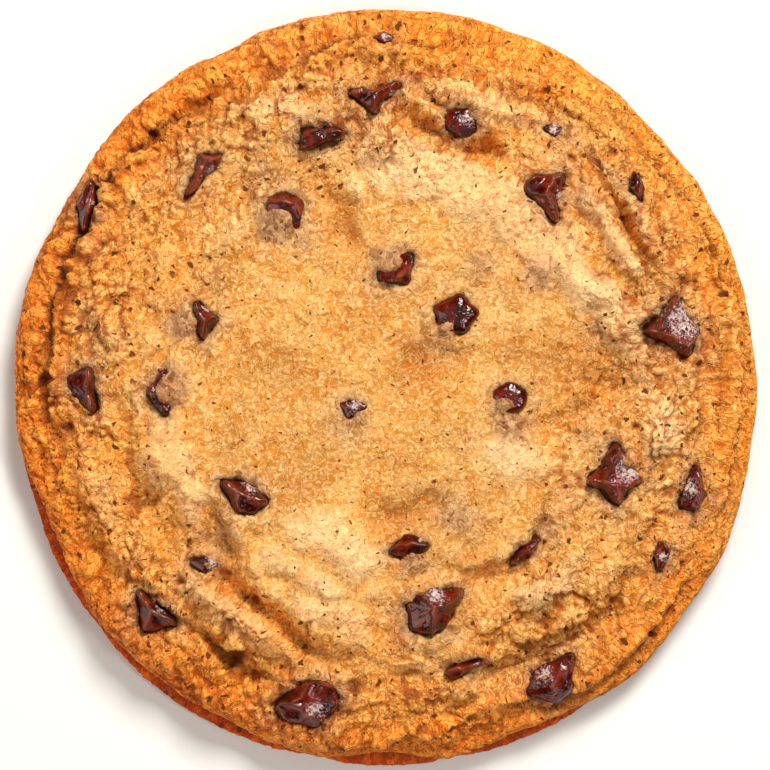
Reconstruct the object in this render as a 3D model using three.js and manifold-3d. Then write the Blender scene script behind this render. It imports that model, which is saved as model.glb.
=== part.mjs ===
// A soft-baked chocolate chip cookie, seen as it lies on a table: +Z up, +Y away from the viewer.
// Lengths are millimetres and angles are degrees, anticlockwise from +X.
// One solid is the baked dough. Each chocolate chip that shows is a solid of its own, in its own socket.
import * as THREE from "three";
import { mergeVertices } from "three/addons/utils/BufferGeometryUtils.js";
import Module from "manifold-3d";

const wasm = await Module();
wasm.setup();

// Driving dimensions of the cookie.
const MEAN_RADIUS = 44;
const OVAL = 0.43; // added to the radius front and back, and taken from it at the sides
const CROWN_HEIGHT = 10.4; // soft middle, before mounds and folds
const SHOULDER_HEIGHT = 6.4; // where the top turns over into the edge
const CROWN_FULLNESS = 2.4; // power of the fall from middle to shoulder
const LIP_HEIGHT = 3.3; // widest point of the top crust
const EDGE_ROUND = 4.2; // how far in from the lip the top starts to turn over
const GROOVE_HEIGHT = 2.1;
const GROOVE_INSET = 0.25; // hollow between lip and foot, which deepens where the foot spreads
const GROOVE_INSET_SPREAD = 0.4;
const FOOT_HEIGHT = 1.0;
const FOOT_INSET = 0.7; // where the lip hides the foot
const BASE_INSET = 1.1; // rounding between the foot and the flat underside
const SOCKET_GAP = 0.3;

// Facets: the top is rings of a six-sided fan, with six more corners on each ring.
const TOP_RINGS = 30;
const STEPS_PER_CHIP_SIDE = 3;

// Bulges and dents of the outline: angle, how far out, and half-width in degrees.
const OUTLINE_LOBES = [
  [42, -0.42, 6], [62, 0.15, 8], [115, -0.45, 4], [135, 0.2, 5], [147, -0.55, 7],
  [198, -0.25, 5], [235, 0.32, 14], [310, 0.42, 7], [336, 0.35, 8],
];

// Where the browned foot spreads out past the lip: angle, how far, and half-width in degrees.
const FOOT_SPREADS = [[205, 1.0, 14], [238, 0.9, 18], [270, 1.2, 7], [292, 0.8, 12]];

// Soft mounds and hollows of the top: x, y, spread and rise.
const MOUNDS = [
  [5.2, 22.1, 8, 0.8], [-5.9, 20.3, 3.5, -0.5], [-18.8, 1.6, 4, -0.6], [-11.2, -20.1, 7, 0.8],
  [9.9, -10.7, 7, 0.6], [23.4, 2.8, 4, -0.5], [-24.1, 16.2, 5.5, 0.5], [-25.9, -7.2, 4.5, 0.7],
  [-30.6, -9, 2.4, -0.7], [24, -20.1, 5.5, 0.6], [31, -6, 5, 0.5], [26.3, 16.2, 4.5, 0.6],
  [13.4, -27.2, 5, 0.5], [-32.3, 10.4, 4.5, 0.4], [-15.9, 32.7, 5.5, 0.4], [14.6, 31.5, 4.5, 0.5],
  [-17.1, -29.5, 4, 0.5], [-27.6, -15.4, 3.5, 0.4], [18.1, 13.5, 2.2, 0.5], [11.1, 14.8, 2.4, 0.4],
];

// Folds that opened as the dough spread and set: depth, half-width, and stations of angle and radius.
const FOLDS = [
  [1.3, 1.2, [[195, 25.3], [210, 24.6], [223, 25.3], [235, 28.8], [253, 31.4], [262, 32.4], [272, 31.2]]],
  [1.0, 1.1, [[279, 32.0], [293, 35.4], [308, 37.0], [322, 36.0]]],
  [1.4, 1.1, [[187, 37.6], [203, 39.0], [218, 37.2], [241, 36.2], [254, 37.4]]],
  [0.9, 0.9, [[116, 39.6], [131, 40.2], [142, 41.6], [153, 40.2], [164, 40.5], [171, 39.6], [180, 40.5],
    [192, 38.4]]],
  [0.8, 0.9, [[92, 42.2], [102, 40.0], [107, 39.2], [116, 41.4]]],
  [0.9, 1.0, [[72, 39.4], [84, 40.6], [95, 41.4]]],
  [0.9, 1.0, [[68, 32.0], [79, 33.3], [86, 36.2]]],
  [1.0, 1.1, [[38, 36.0], [49, 36.4], [56, 36.6], [63, 38.0], [70, 35.8], [82, 37.3]]],
  [0.9, 1.2, [[54, 27.2], [66, 28.4], [75, 29.6], [87, 31.0], [97, 29.4], [111, 28.6], [124, 28.7]]],
  [0.9, 1.1, [[12, 31.0], [25, 27.7], [39, 25.0], [47, 27.0]]],
  [0.8, 1.0, [[18, 35.0], [27, 32.9], [37, 34.0], [45, 32.4]]],
  [1.0, 1.1, [[289, 24.6], [305, 24.9], [319, 24.6], [337, 22.2]]],
  [0.5, 0.9, [[342, 25.0], [346, 19.0], [347, 14.0]]],
  [0.9, 0.8, [[336, 42.6], [347, 42.0], [356, 41.6], [364, 42.3], [376, 42.5], [387, 41.5], [398, 41.6],
    [411, 42.4]]],
  [0.7, 0.8, [[293, 42.2], [300, 43.2], [315, 43.4], [324, 42.3], [330, 43.2]]],
  [0.9, 0.9, [[262, 43.8], [271, 42.0], [283, 42.2], [291, 41.2]]],
  [0.8, 0.8, [[281, 40.8], [290, 40.0], [301, 42.2]]],
  [0.7, 0.9, [[158, 38.0], [166, 36.0], [173, 32.6]]],
  [0.7, 0.9, [[344, 36.0], [354, 37.6], [366, 36.4]]],
];
const FOLD_FADE = 0.22; // share of a fold's length over which each end runs out
const FOLD_SHOULDER = 0.35; // height of the rolls beside a fold, as a share of its depth

// Low ripples that follow the edge, and crags of crumb, coarse in the outer band and soft in the middle.
const RIPPLE_SPACING = 5.2;
const RIPPLE_RISE = 0.2;
const RIPPLE_BAND = [22, 38]; // radii between which the ripples grow
const CRAG_SIZE = 3.1;
const CRAG_RISE_MIDDLE = 0.18;
const CRAG_RISE_EDGE = 0.55;
const CRAG_BAND = [22, 32]; // radii between which the crags grow

// Chocolate chips. at is x and y, rise is the height over the dough, and corners are angle and reach. bow
// pulls the sides in between corners, or out where it is negative. tip is how far the top is moved, and cover
// is the dough that has crept over the chip: x and y from its middle, spread and rise.
const CHIPS = [
  { at: [-1.2, 34.1], rise: 0.9, bow: 0.16, tip: [0.3, 0.2], cover: [0.9, 2.3, 1.3, 0.5],
    corners: [[27, 4.7], [172, 4.1], [267, 2.5]] },
  { at: [-7.1, 29.0], rise: 0.8, bow: 0.04, tip: [-0.8, 0.2], cover: [0.6, 2.8, 1.6, 0.6],
    corners: [[11, 3.1], [45, 2.1], [157, 3.0], [210, 3.3]] },
  { at: [-21.2, 24.7], rise: 0.9, bow: 0.1, tip: [0.4, 0.6], cover: [2.0, -1.6, 1.2, 0.4],
    corners: [[42, 4.2], [101, 3.0], [234, 4.9]] },
  { at: [-11.8, 20.4], rise: 0.9, bow: -0.06, cover: [-1.3, -1.9, 1.9, 1.3],
    corners: [[20, 2.8], [80, 2.8], [140, 2.9], [230, 2.6], [310, 2.6]] },
  { at: [-34.9, 20.9], rise: 0.7, bow: 0.05, tip: [0, 0.3], cover: [1.6, -0.4, 1.2, 0.4],
    corners: [[45, 2.0], [82, 4.3], [150, 1.6], [265, 3.7]] },
  { at: [18.7, 22.3], rise: 1.2, bow: 0.1, tip: [0.7, 0.3], cover: [2.3, -0.6, 1.4, 0.5],
    corners: [[50, 4.0], [125, 3.3], [165, 3.1], [289, 4.0]] },
  { at: [9.0, 31.4], rise: 0.4, bow: 0, cover: [1.2, 0.7, 1.0, 0.4],
    corners: [[60, 1.6], [150, 2.0], [322, 2.3]] },
  { at: [29.3, 23.6], rise: 0.6, bow: -0.05,
    corners: [[0, 1.0], [100, 2.1], [180, 0.9], [285, 2.1]] },
  { at: [19.5, 30.1], rise: 0.4, bow: -0.05,
    corners: [[10, 1.3], [90, 0.8], [165, 1.2], [270, 0.8]] },
  { at: [1.3, 13.9], rise: 0.9, bow: -0.08, cover: [-1.2, 1.4, 1.6, 1.1],
    corners: [[45, 2.7], [135, 2.4], [210, 2.7], [310, 2.5]] },
  { at: [8.2, 8.4], rise: 1.1, bow: -0.06, tip: [0.2, 0.2], cover: [-1.3, -1.7, 1.3, 1.0],
    corners: [[10, 2.9], [80, 2.8], [160, 2.9], [230, 2.7], [300, 2.3]] },
  { at: [33.1, 7.1], rise: 1.3, bow: 0.1, tip: [-0.9, -0.1],
    corners: [[80, 4.4], [188, 3.6], [302, 4.8], [353, 3.7]] },
  { at: [-21.2, 8.0], rise: 0.9, bow: 0.08, cover: [-1.7, -0.4, 1.5, 0.7],
    corners: [[3, 2.1], [108, 2.7], [190, 1.5], [272, 2.7]] },
  { at: [-35.1, -0.2], rise: 1.0, bow: 0, tip: [0.4, 0.2],
    corners: [[72, 3.3], [149, 2.7], [210, 1.5], [297, 3.7]] },
  { at: [-26.0, -0.4], rise: 0.9, bow: -0.04, tip: [-0.4, 0], cover: [1.4, 0.5, 1.6, 1.2],
    corners: [[10, 2.0], [80, 3.2], [180, 1.9], [280, 3.4]] },
  { at: [-3.8, -2.4], rise: 0.4, bow: 0, tip: [-0.3, 0], cover: [0.9, -0.9, 1.0, 0.5],
    corners: [[10, 2.2], [90, 1.2], [155, 1.8], [250, 1.4]] },
  { at: [14.4, -1.0], rise: 0.9, bow: -0.06, tip: [0.2, 0.3], cover: [-0.9, -1.9, 1.4, 0.9],
    corners: [[20, 2.3], [95, 2.0], [170, 2.3], [250, 2.2], [320, 2.3]] },
  { at: [26.6, -9.8], rise: 1.2, bow: 0.16, cover: [1.8, 1.4, 1.2, 0.3],
    corners: [[90, 4.3], [197, 3.9], [278, 4.2], [349, 3.7]] },
  { at: [35.8, -11.6], rise: 0.8, bow: 0.02, tip: [0, -0.2],
    corners: [[84, 3.6], [228, 2.8], [281, 3.0], [335, 1.8]] },
  { at: [32.1, -19.6], rise: 0.5, bow: 0,
    corners: [[18, 1.2], [97, 2.1], [170, 0.9], [263, 2.0]] },
  { at: [-16.4, -12.4], rise: 1.1, bow: 0, tip: [0.2, 0], cover: [0.8, 2.3, 1.2, 0.6],
    corners: [[74, 1.8], [149, 3.7], [247, 2.4], [300, 2.5], [346, 3.5]] },
  { at: [-21.2, -20.4], rise: 0.4, bow: 0, tip: [-0.4, 0], cover: [1.0, 0.5, 1.1, 0.5],
    corners: [[0, 2.0], [90, 1.1], [170, 1.9], [270, 1.0]] },
  { at: [-26.9, -25.7], rise: 1.0, bow: 0.05, tip: [-0.2, 0], cover: [1.5, 1.4, 1.3, 0.4],
    corners: [[129, 3.8], [242, 3.4], [330, 3.8]] },
  { at: [2.8, -18.4], rise: 0.8, bow: -0.03, tip: [0, 0.2], cover: [0.4, -1.7, 1.5, 0.8],
    corners: [[0, 2.9], [75, 1.7], [110, 1.7], [195, 2.8], [270, 1.4]] },
  { at: [16.1, -19.1], rise: 0.4, bow: 0, cover: [1.2, 0.4, 0.9, 0.5],
    corners: [[48, 3.6], [135, 0.8], [216, 2.8], [315, 0.9]] },
  { at: [5.6, -25.6], rise: 1.3, bow: 0, tip: [-0.3, 0.2], cover: [-2.9, 1.7, 1.2, 0.4],
    corners: [[34, 4.8], [97, 2.7], [164, 3.7], [220, 3.7], [262, 3.4], [310, 2.6]] },
  { at: [-8.9, -36.8], rise: 1.1, bow: 0, tip: [0.2, 0],
    corners: [[0, 3.7], [41, 4.1], [106, 2.9], [183, 4.6], [216, 3.6], [287, 3.2]] },
  { at: [9.1, -32.7], rise: 0.5, bow: 0, tip: [-0.4, 0], cover: [1.4, -0.4, 1.1, 0.5],
    corners: [[24, 3.4], [100, 1.1], [183, 2.5], [228, 1.9]] },
  { at: [19.5, -34.2], rise: 0.8, bow: 0.04, tip: [0.6, 0], cover: [-1.2, 1.2, 1.1, 0.5],
    corners: [[57, 4.7], [151, 2.8], [206, 3.7], [288, 2.9], [337, 2.8]] },
  { at: [-0.1, 41.0], rise: 0.3, bow: -0.05,
    corners: [[0, 1.3], [90, 0.7], [180, 1.4], [270, 0.7]] },
];
const CHIP_DEPTH_SHARE = 0.62; // how deep a chip sits, as a share of its mean reach
const CHIP_DEPTH_LEAST = 1.0;

const radians = THREE.MathUtils.degToRad;
const bell = (distance, spread) => Math.exp(-((distance / spread) ** 2));
const smooth = (low, high, value) => THREE.MathUtils.smoothstep(value, low, high);

const onCircle = (radius, angle) => [radius * Math.cos(radians(angle)), radius * Math.sin(radians(angle))];

// The shortest way round between two angles, in degrees.
function turnBetween(a, b) {
  const turn = (((a - b) % 360) + 540) % 360;
  return Math.abs(turn - 180);
}

function outlineRadius(angle) {
  const oval = MEAN_RADIUS - OVAL * Math.cos(radians(2 * angle));
  return OUTLINE_LOBES.reduce((sum, [at, out, wide]) => sum + out * bell(turnBetween(angle, at), wide), oval);
}

function footSpread(angle) {
  const spreads = FOOT_SPREADS.map(([at, out, wide]) => out * bell(turnBetween(angle, at), wide));
  return Math.max(...spreads);
}

// The outline of the top crust stands in where the foot spreads past it, and the foot stands in elsewhere.
const lipRadius = (angle) => outlineRadius(angle) - footSpread(angle);
const footRadius = (angle) => outlineRadius(angle) - FOOT_INSET * (1 - smooth(0, 0.8, footSpread(angle)));

function grooveRadius(angle) {
  const inset = GROOVE_INSET + GROOVE_INSET_SPREAD * smooth(0, 1, footSpread(angle));
  return Math.min(lipRadius(angle), footRadius(angle) + FOOT_INSET / 2) - inset;
}

// Cuts the corners of a line of stations twice, so that it runs smoothly between the same ends.
function smoothedLine(stations) {
  let line = stations.map(([angle, radius]) => onCircle(radius, angle));
  for (let pass = 0; pass < 2; pass++) {
    const cut = [line[0]];
    for (let i = 0; i + 1 < line.length; i++) {
      const [a, b] = [line[i], line[i + 1]];
      cut.push([0.75 * a[0] + 0.25 * b[0], 0.75 * a[1] + 0.25 * b[1]]);
      cut.push([0.25 * a[0] + 0.75 * b[0], 0.25 * a[1] + 0.75 * b[1]]);
    }
    cut.push(line[line.length - 1]);
    line = cut;
  }
  return line;
}

const FOLD_LINES = FOLDS.map(([depth, wide, stations]) => {
  const line = smoothedLine(stations);
  const lengths = line.slice(1).map((p, i) => Math.hypot(p[0] - line[i][0], p[1] - line[i][1]));
  return { depth, wide, line, lengths, whole: lengths.reduce((a, b) => a + b, 0) };
});

// Distance from a point to a fold's line, and how far along the line the nearest place is.
function nearestOn(fold, x, y) {
  let best = { distance: Infinity, along: 0 };
  let gone = 0;
  fold.lengths.forEach((length, i) => {
    const [ax, ay] = fold.line[i];
    const [bx, by] = fold.line[i + 1];
    const along = ((x - ax) * (bx - ax) + (y - ay) * (by - ay)) / (length * length);
    const share = THREE.MathUtils.clamp(along, 0, 1);
    const distance = Math.hypot(x - ax - share * (bx - ax), y - ay - share * (by - ay));
    if (distance < best.distance) best = { distance, along: gone + share * length };
    gone += length;
  });
  return best;
}

function foldRelief(x, y) {
  return FOLD_LINES.reduce((sum, fold) => {
    const { distance, along } = nearestOn(fold, x, y);
    const end = Math.min(along, fold.whole - along) / fold.whole;
    const fade = 0.25 + 0.75 * smooth(0, FOLD_FADE, end);
    const groove = bell(distance, fold.wide);
    const roll = FOLD_SHOULDER * bell(distance - 2.2 * fold.wide, 1.3 * fold.wide);
    return sum + fold.depth * fade * (roll - groove);
  }, 0);
}

function moundRelief(x, y) {
  const rises = MOUNDS.map(([mx, my, spread, rise]) => rise * bell(Math.hypot(x - mx, y - my), spread));
  return rises.reduce((sum, rise) => sum + rise, 0);
}

function coverRelief(x, y) {
  return CHIPS.reduce((sum, { at, cover = [0, 0, 1, 0] }) => {
    const away = Math.hypot(x - at[0] - cover[0], y - at[1] - cover[1]);
    return sum + cover[3] * bell(away, cover[2]);
  }, 0);
}

// A fixed scatter of levels on a square grid, blended smoothly between, from -1 to 1.
function crag(x, y) {
  const level = (i, j) => {
    const s = Math.sin(i * 127.1 + j * 311.7) * 43758.5453;
    return 2 * (s - Math.floor(s)) - 1;
  };
  const [i, j] = [Math.floor(x / CRAG_SIZE), Math.floor(y / CRAG_SIZE)];
  const [p, q] = [x / CRAG_SIZE - i, y / CRAG_SIZE - j].map((share) => share * share * (3 - 2 * share));
  const near = level(i, j) * (1 - p) + level(i + 1, j) * p;
  const far = level(i, j + 1) * (1 - p) + level(i + 1, j + 1) * p;
  return near * (1 - q) + far * q;
}

// Ripples and crags, on the surface unrolled flat so that they keep their size as the edge turns down.
function waveRelief(angle, along) {
  const a = radians(angle);
  const wander = 2.2 * Math.sin(3 * a + 1) + 1.4 * Math.sin(5 * a + 2) + 0.8 * Math.sin(8 * a);
  const ripple = Math.sin((2 * Math.PI * along) / RIPPLE_SPACING + wander) * smooth(...RIPPLE_BAND, along);
  const rise = THREE.MathUtils.lerp(CRAG_RISE_MIDDLE, CRAG_RISE_EDGE, smooth(...CRAG_BAND, along));
  return RIPPLE_RISE * ripple + rise * crag(...onCircle(along, angle));
}

// Smooth height of the top at a radius, before any relief.
function crownHeight(radius) {
  const share = radius / (MEAN_RADIUS - EDGE_ROUND);
  return CROWN_HEIGHT - (CROWN_HEIGHT - SHOULDER_HEIGHT) * share ** CROWN_FULLNESS;
}

// A point of the top crust, from 0 in the middle to 1 at the lip, with the relief raised square to it.
function topPoint(share, angle) {
  const lip = lipRadius(angle);
  const flat = lip - EDGE_ROUND;
  const fall = crownHeight(flat) - LIP_HEIGHT;
  const roundLength = (Math.PI / 2) * Math.sqrt((EDGE_ROUND ** 2 + fall ** 2) / 2);
  const along = share * (flat + roundLength);
  const turn = Math.max(0, (along - flat) / roundLength) * (Math.PI / 2);
  const radius = Math.min(along, flat) + EDGE_ROUND * Math.sin(turn);
  const height = LIP_HEIGHT + (crownHeight(radius) - LIP_HEIGHT) * Math.cos(turn);
  const [x, y] = onCircle(radius, angle);
  const lipCalm = 1 - smooth(0.93, 1, share);
  const forms = moundRelief(x, y) + foldRelief(x, y) + coverRelief(x, y) + waveRelief(angle, along);
  const relief = lipCalm * forms;
  return [...onCircle(radius + relief * Math.sin(turn), angle), height + relief * Math.cos(turn)];
}

// Level that a chip sits at: the crown and its mounds at that place, without the folds.
function chipLevel(x, y) {
  const radius = Math.hypot(x, y);
  const flat = lipRadius(THREE.MathUtils.radToDeg(Math.atan2(y, x))) - EDGE_ROUND;
  const turn = Math.asin(THREE.MathUtils.clamp((radius - flat) / EDGE_ROUND, 0, 1));
  return LIP_HEIGHT + (crownHeight(radius) + moundRelief(x, y) - LIP_HEIGHT) * Math.cos(turn);
}

// Makes a closed solid from corner points and triangles.
function solidFrom(points, triangles) {
  const geometry = new THREE.BufferGeometry();
  geometry.setAttribute("position", new THREE.Float32BufferAttribute(points.flat(), 3));
  geometry.setIndex(triangles.flat());
  const merged = mergeVertices(geometry, 1e-4);
  const mesh = new wasm.Mesh({
    numProp: 3,
    vertProperties: merged.attributes.position.array,
    triVerts: new Uint32Array(merged.index.array),
  });
  return new wasm.Manifold(mesh);
}

// Triangles of a band between two rings of the same count, where the first ring is the upper one.
function band(upper, lower, count) {
  return Array.from({ length: count }, (_, i) => {
    const next = (i + 1) % count;
    return [[upper + i, lower + i, lower + next], [upper + i, lower + next, upper + next]];
  }).flat();
}

// The baked dough without its sockets.
function doughSolid() {
  const points = [topPoint(0, 0)];
  const triangles = [];
  const ringStart = (ring) => (ring === 0 ? 0 : 1 + 3 * ring * (ring - 1));
  for (let ring = 1; ring <= TOP_RINGS; ring++) {
    const count = 6 * ring;
    for (let i = 0; i < count; i++) points.push(topPoint(ring / TOP_RINGS, (360 * i) / count));
    const corner = (r, i) => (r === 0 ? 0 : ringStart(r) + (i % (6 * r)));
    for (let sector = 0; sector < 6; sector++) {
      for (let i = 0; i < ring; i++) {
        const [outer, inner] = [sector * ring + i, sector * (ring - 1) + i];
        triangles.push([corner(ring - 1, inner), corner(ring, outer), corner(ring, outer + 1)]);
        if (i === 0) continue;
        triangles.push([corner(ring - 1, inner - 1), corner(ring, outer), corner(ring - 1, inner)]);
      }
    }
  }
  const count = 6 * TOP_RINGS;
  const angles = Array.from({ length: count }, (_, i) => (360 * i) / count);
  const levels = [
    [GROOVE_HEIGHT, grooveRadius],
    [FOOT_HEIGHT, footRadius],
    [0, (angle) => footRadius(angle) - BASE_INSET],
  ];
  let upper = ringStart(TOP_RINGS);
  for (const [height, radiusAt] of levels) {
    const lower = points.length;
    points.push(...angles.map((angle) => [...onCircle(radiusAt(angle), angle), height]));
    triangles.push(...band(upper, lower, count));
    upper = lower;
  }
  const middle = points.length;
  points.push([0, 0, 0]);
  for (let i = 0; i < count; i++) triangles.push([upper + i, middle, upper + ((i + 1) % count)]);
  return solidFrom(points, triangles);
}

// A chip's outline: its corners, with each side between them bowed, and how near each point is to a corner.
function chipOutline({ corners, bow }) {
  const outline = [];
  corners.forEach(([angle, reach], i) => {
    const [nextAngle, nextReach] = corners[(i + 1) % corners.length];
    const from = new THREE.Vector2(reach, 0).rotateAround(new THREE.Vector2(), radians(angle));
    const to = new THREE.Vector2(nextReach, 0).rotateAround(new THREE.Vector2(), radians(nextAngle));
    for (let step = 0; step < STEPS_PER_CHIP_SIDE; step++) {
      const share = step / STEPS_PER_CHIP_SIDE;
      const point = from.clone().lerp(to, share);
      const pull = bow * from.distanceTo(to) * 4 * share * (1 - share);
      point.setLength(Math.max(0.3, point.length() - pull));
      outline.push({ x: point.x, y: point.y, ridge: Math.abs(2 * share - 1) });
    }
  });
  return outline;
}

// Moves each point of an outline out, square to its sides, so that the gap is even round sharp corners too.
function grownOutline(outline, grow) {
  const normal = (a, b) => new THREE.Vector2(b.y - a.y, a.x - b.x).normalize();
  return outline.map((point, i) => {
    const before = normal(outline.at(i - 1), point);
    const after = normal(point, outline[(i + 1) % outline.length]);
    const middle = before.clone().add(after).normalize();
    const reach = grow / Math.max(0.45, middle.dot(before));
    return { ...point, x: point.x + middle.x * reach, y: point.y + middle.y * reach };
  });
}

// A chip, or the cutter of its socket where grow is over 0: softened crown above, rounded belly below.
function chipSolid(chip, grow = 0) {
  const outline = grownOutline(chipOutline(chip), grow);
  const tip = chip.tip ?? [0, 0];
  const meanReach = chip.corners.reduce((sum, [, reach]) => sum + reach, 0) / chip.corners.length;
  const depth = Math.max(CHIP_DEPTH_LEAST, CHIP_DEPTH_SHARE * meanReach) + grow;
  const rise = chip.rise + grow;
  const place = (awayX, awayY, height) => {
    const [x, y] = [chip.at[0] + awayX, chip.at[1] + awayY];
    return [x, y, chipLevel(x, y) + height];
  };
  const ring = (scale, pull, heightAt) => outline.map(({ x, y, ridge }) => {
    return place(x * scale + tip[0] * pull, y * scale + tip[1] * pull, heightAt(ridge));
  });
  const rings = [
    ring(0.52, 0.8, (ridge) => rise * (0.74 + 0.16 * ridge)),
    ring(0.9, 0.2, (ridge) => rise * (0.3 + 0.25 * ridge)),
    ring(1, 0, () => -0.18 * depth),
    ring(0.62, 0, () => -depth),
  ];
  const count = outline.length;
  const points = [place(...tip, rise), ...rings.flat(), place(0, 0, -depth)];
  const triangles = [];
  for (let i = 0; i < count; i++) triangles.push([0, 1 + i, 1 + ((i + 1) % count)]);
  for (let r = 1; r < rings.length; r++) {
    triangles.push(...band(1 + (r - 1) * count, 1 + r * count, count));
  }
  const last = 1 + (rings.length - 1) * count;
  const bottom = points.length - 1;
  for (let i = 0; i < count; i++) triangles.push([last + i, bottom, last + ((i + 1) % count)]);
  return solidFrom(points, triangles);
}

function meshOf(solid, name, material) {
  const { vertProperties, triVerts } = solid.getMesh();
  const geometry = new THREE.BufferGeometry();
  geometry.setAttribute("position", new THREE.BufferAttribute(vertProperties, 3));
  geometry.setIndex(new THREE.BufferAttribute(triVerts, 1));
  geometry.computeVertexNormals();
  const mesh = new THREE.Mesh(geometry, material);
  mesh.name = name;
  return mesh;
}

const crust = new THREE.MeshStandardMaterial({ color: 0xd99a4e, roughness: 0.85, metalness: 0 });
const chocolate = new THREE.MeshStandardMaterial({ color: 0x4a1a0c, roughness: 0.35, metalness: 0 });

const cookie = new THREE.Group();
const sockets = wasm.Manifold.union(CHIPS.map((chip) => chipSolid(chip, SOCKET_GAP)));
cookie.add(meshOf(doughSolid().subtract(sockets), "dough", crust));
CHIPS.forEach((chip, i) => {
  const number = String(i + 1).padStart(2, "0");
  cookie.add(meshOf(chipSolid(chip), `chip_${number}`, chocolate));
});

export default cookie;
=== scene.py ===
import math

import bpy
import numpy as np
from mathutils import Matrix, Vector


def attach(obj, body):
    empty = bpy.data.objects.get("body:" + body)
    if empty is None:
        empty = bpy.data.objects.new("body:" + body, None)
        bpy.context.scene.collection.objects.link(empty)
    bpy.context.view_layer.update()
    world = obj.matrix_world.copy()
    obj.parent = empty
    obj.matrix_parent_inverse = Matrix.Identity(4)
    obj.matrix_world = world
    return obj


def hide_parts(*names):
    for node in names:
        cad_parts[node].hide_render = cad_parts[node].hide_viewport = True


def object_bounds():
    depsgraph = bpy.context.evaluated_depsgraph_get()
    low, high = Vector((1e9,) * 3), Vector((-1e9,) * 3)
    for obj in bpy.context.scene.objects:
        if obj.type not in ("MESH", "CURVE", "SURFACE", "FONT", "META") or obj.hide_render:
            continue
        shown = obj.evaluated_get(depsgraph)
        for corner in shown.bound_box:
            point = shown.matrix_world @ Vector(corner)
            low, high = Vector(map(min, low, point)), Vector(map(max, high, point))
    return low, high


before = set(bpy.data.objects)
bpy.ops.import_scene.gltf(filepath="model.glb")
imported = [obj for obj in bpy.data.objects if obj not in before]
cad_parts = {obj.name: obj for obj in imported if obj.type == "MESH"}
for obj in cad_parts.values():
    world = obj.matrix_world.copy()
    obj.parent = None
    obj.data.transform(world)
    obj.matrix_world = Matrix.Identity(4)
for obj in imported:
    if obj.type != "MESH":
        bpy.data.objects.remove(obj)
cad_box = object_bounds()
MM = 0.001

# The baked dough: butter and sugar dough that spread on the tray, domed, split into folds round the edge
# and set. One piece, with a golden soft middle, a crumbly browner band, a rolled lip and a thin dark foot.
MEAN_RADIUS = 44
OVAL = 0.43
CROWN_HEIGHT = 10.4
SHOULDER_HEIGHT = 6.4
CROWN_FULLNESS = 2.4
LIP_HEIGHT = 3.3
EDGE_ROUND = 4.2
GROOVE_HEIGHT = 2.1
GROOVE_INSET = 0.25
GROOVE_INSET_SPREAD = 0.4
FOOT_HEIGHT = 1.0
FOOT_INSET = 0.7
BASE_INSET = 1.1

# Rings of facets: the top and the underside are six-sided fans, with some rings of side between them.
TOP_CUTS = (11, 13)
BASE_CUTS = (6, 4)
SIDE_RINGS = 9

# Bulges and dents of the outline: angle, how far out, and half-width in degrees.
OUTLINE_LOBES = [
    (42, -0.42, 6), (62, 0.15, 8), (115, -0.45, 4), (135, 0.2, 5), (147, -0.55, 7),
    (198, -0.25, 5), (235, 0.32, 14), (310, 0.42, 7), (336, 0.35, 8),
]

# Where the browned foot spreads out past the lip: angle, how far, and half-width in degrees.
FOOT_SPREADS = [(205, 1.3, 15), (238, 1.3, 19), (270, 1.5, 8), (292, 1.0, 12)]

# Soft mounds and hollows of the top: x, y, spread and rise.
MOUNDS = [
    (5.2, 22.1, 8, 0.8), (-5.9, 20.3, 3.5, -0.5), (-18.8, 1.6, 4, -0.6), (-11.2, -20.1, 7, 0.8),
    (9.9, -10.7, 7, 0.6), (23.4, 2.8, 4, -0.5), (-24.1, 16.2, 5.5, 0.5), (-25.9, -7.2, 4.5, 0.7),
    (-30.6, -9, 2.4, -0.35), (24, -20.1, 5.5, 0.6), (31, -6, 5, 0.5), (26.3, 16.2, 4.5, 0.6),
    (13.4, -27.2, 5, 0.5), (-32.3, 10.4, 4.5, 0.4), (-15.9, 32.7, 5.5, 0.4), (14.6, 31.5, 4.5, 0.5),
    (-17.1, -29.5, 4, 0.5), (-27.6, -15.4, 3.5, 0.4), (18.1, 13.5, 2.2, 0.5), (11.1, 14.8, 2.4, 0.4),
]

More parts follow.
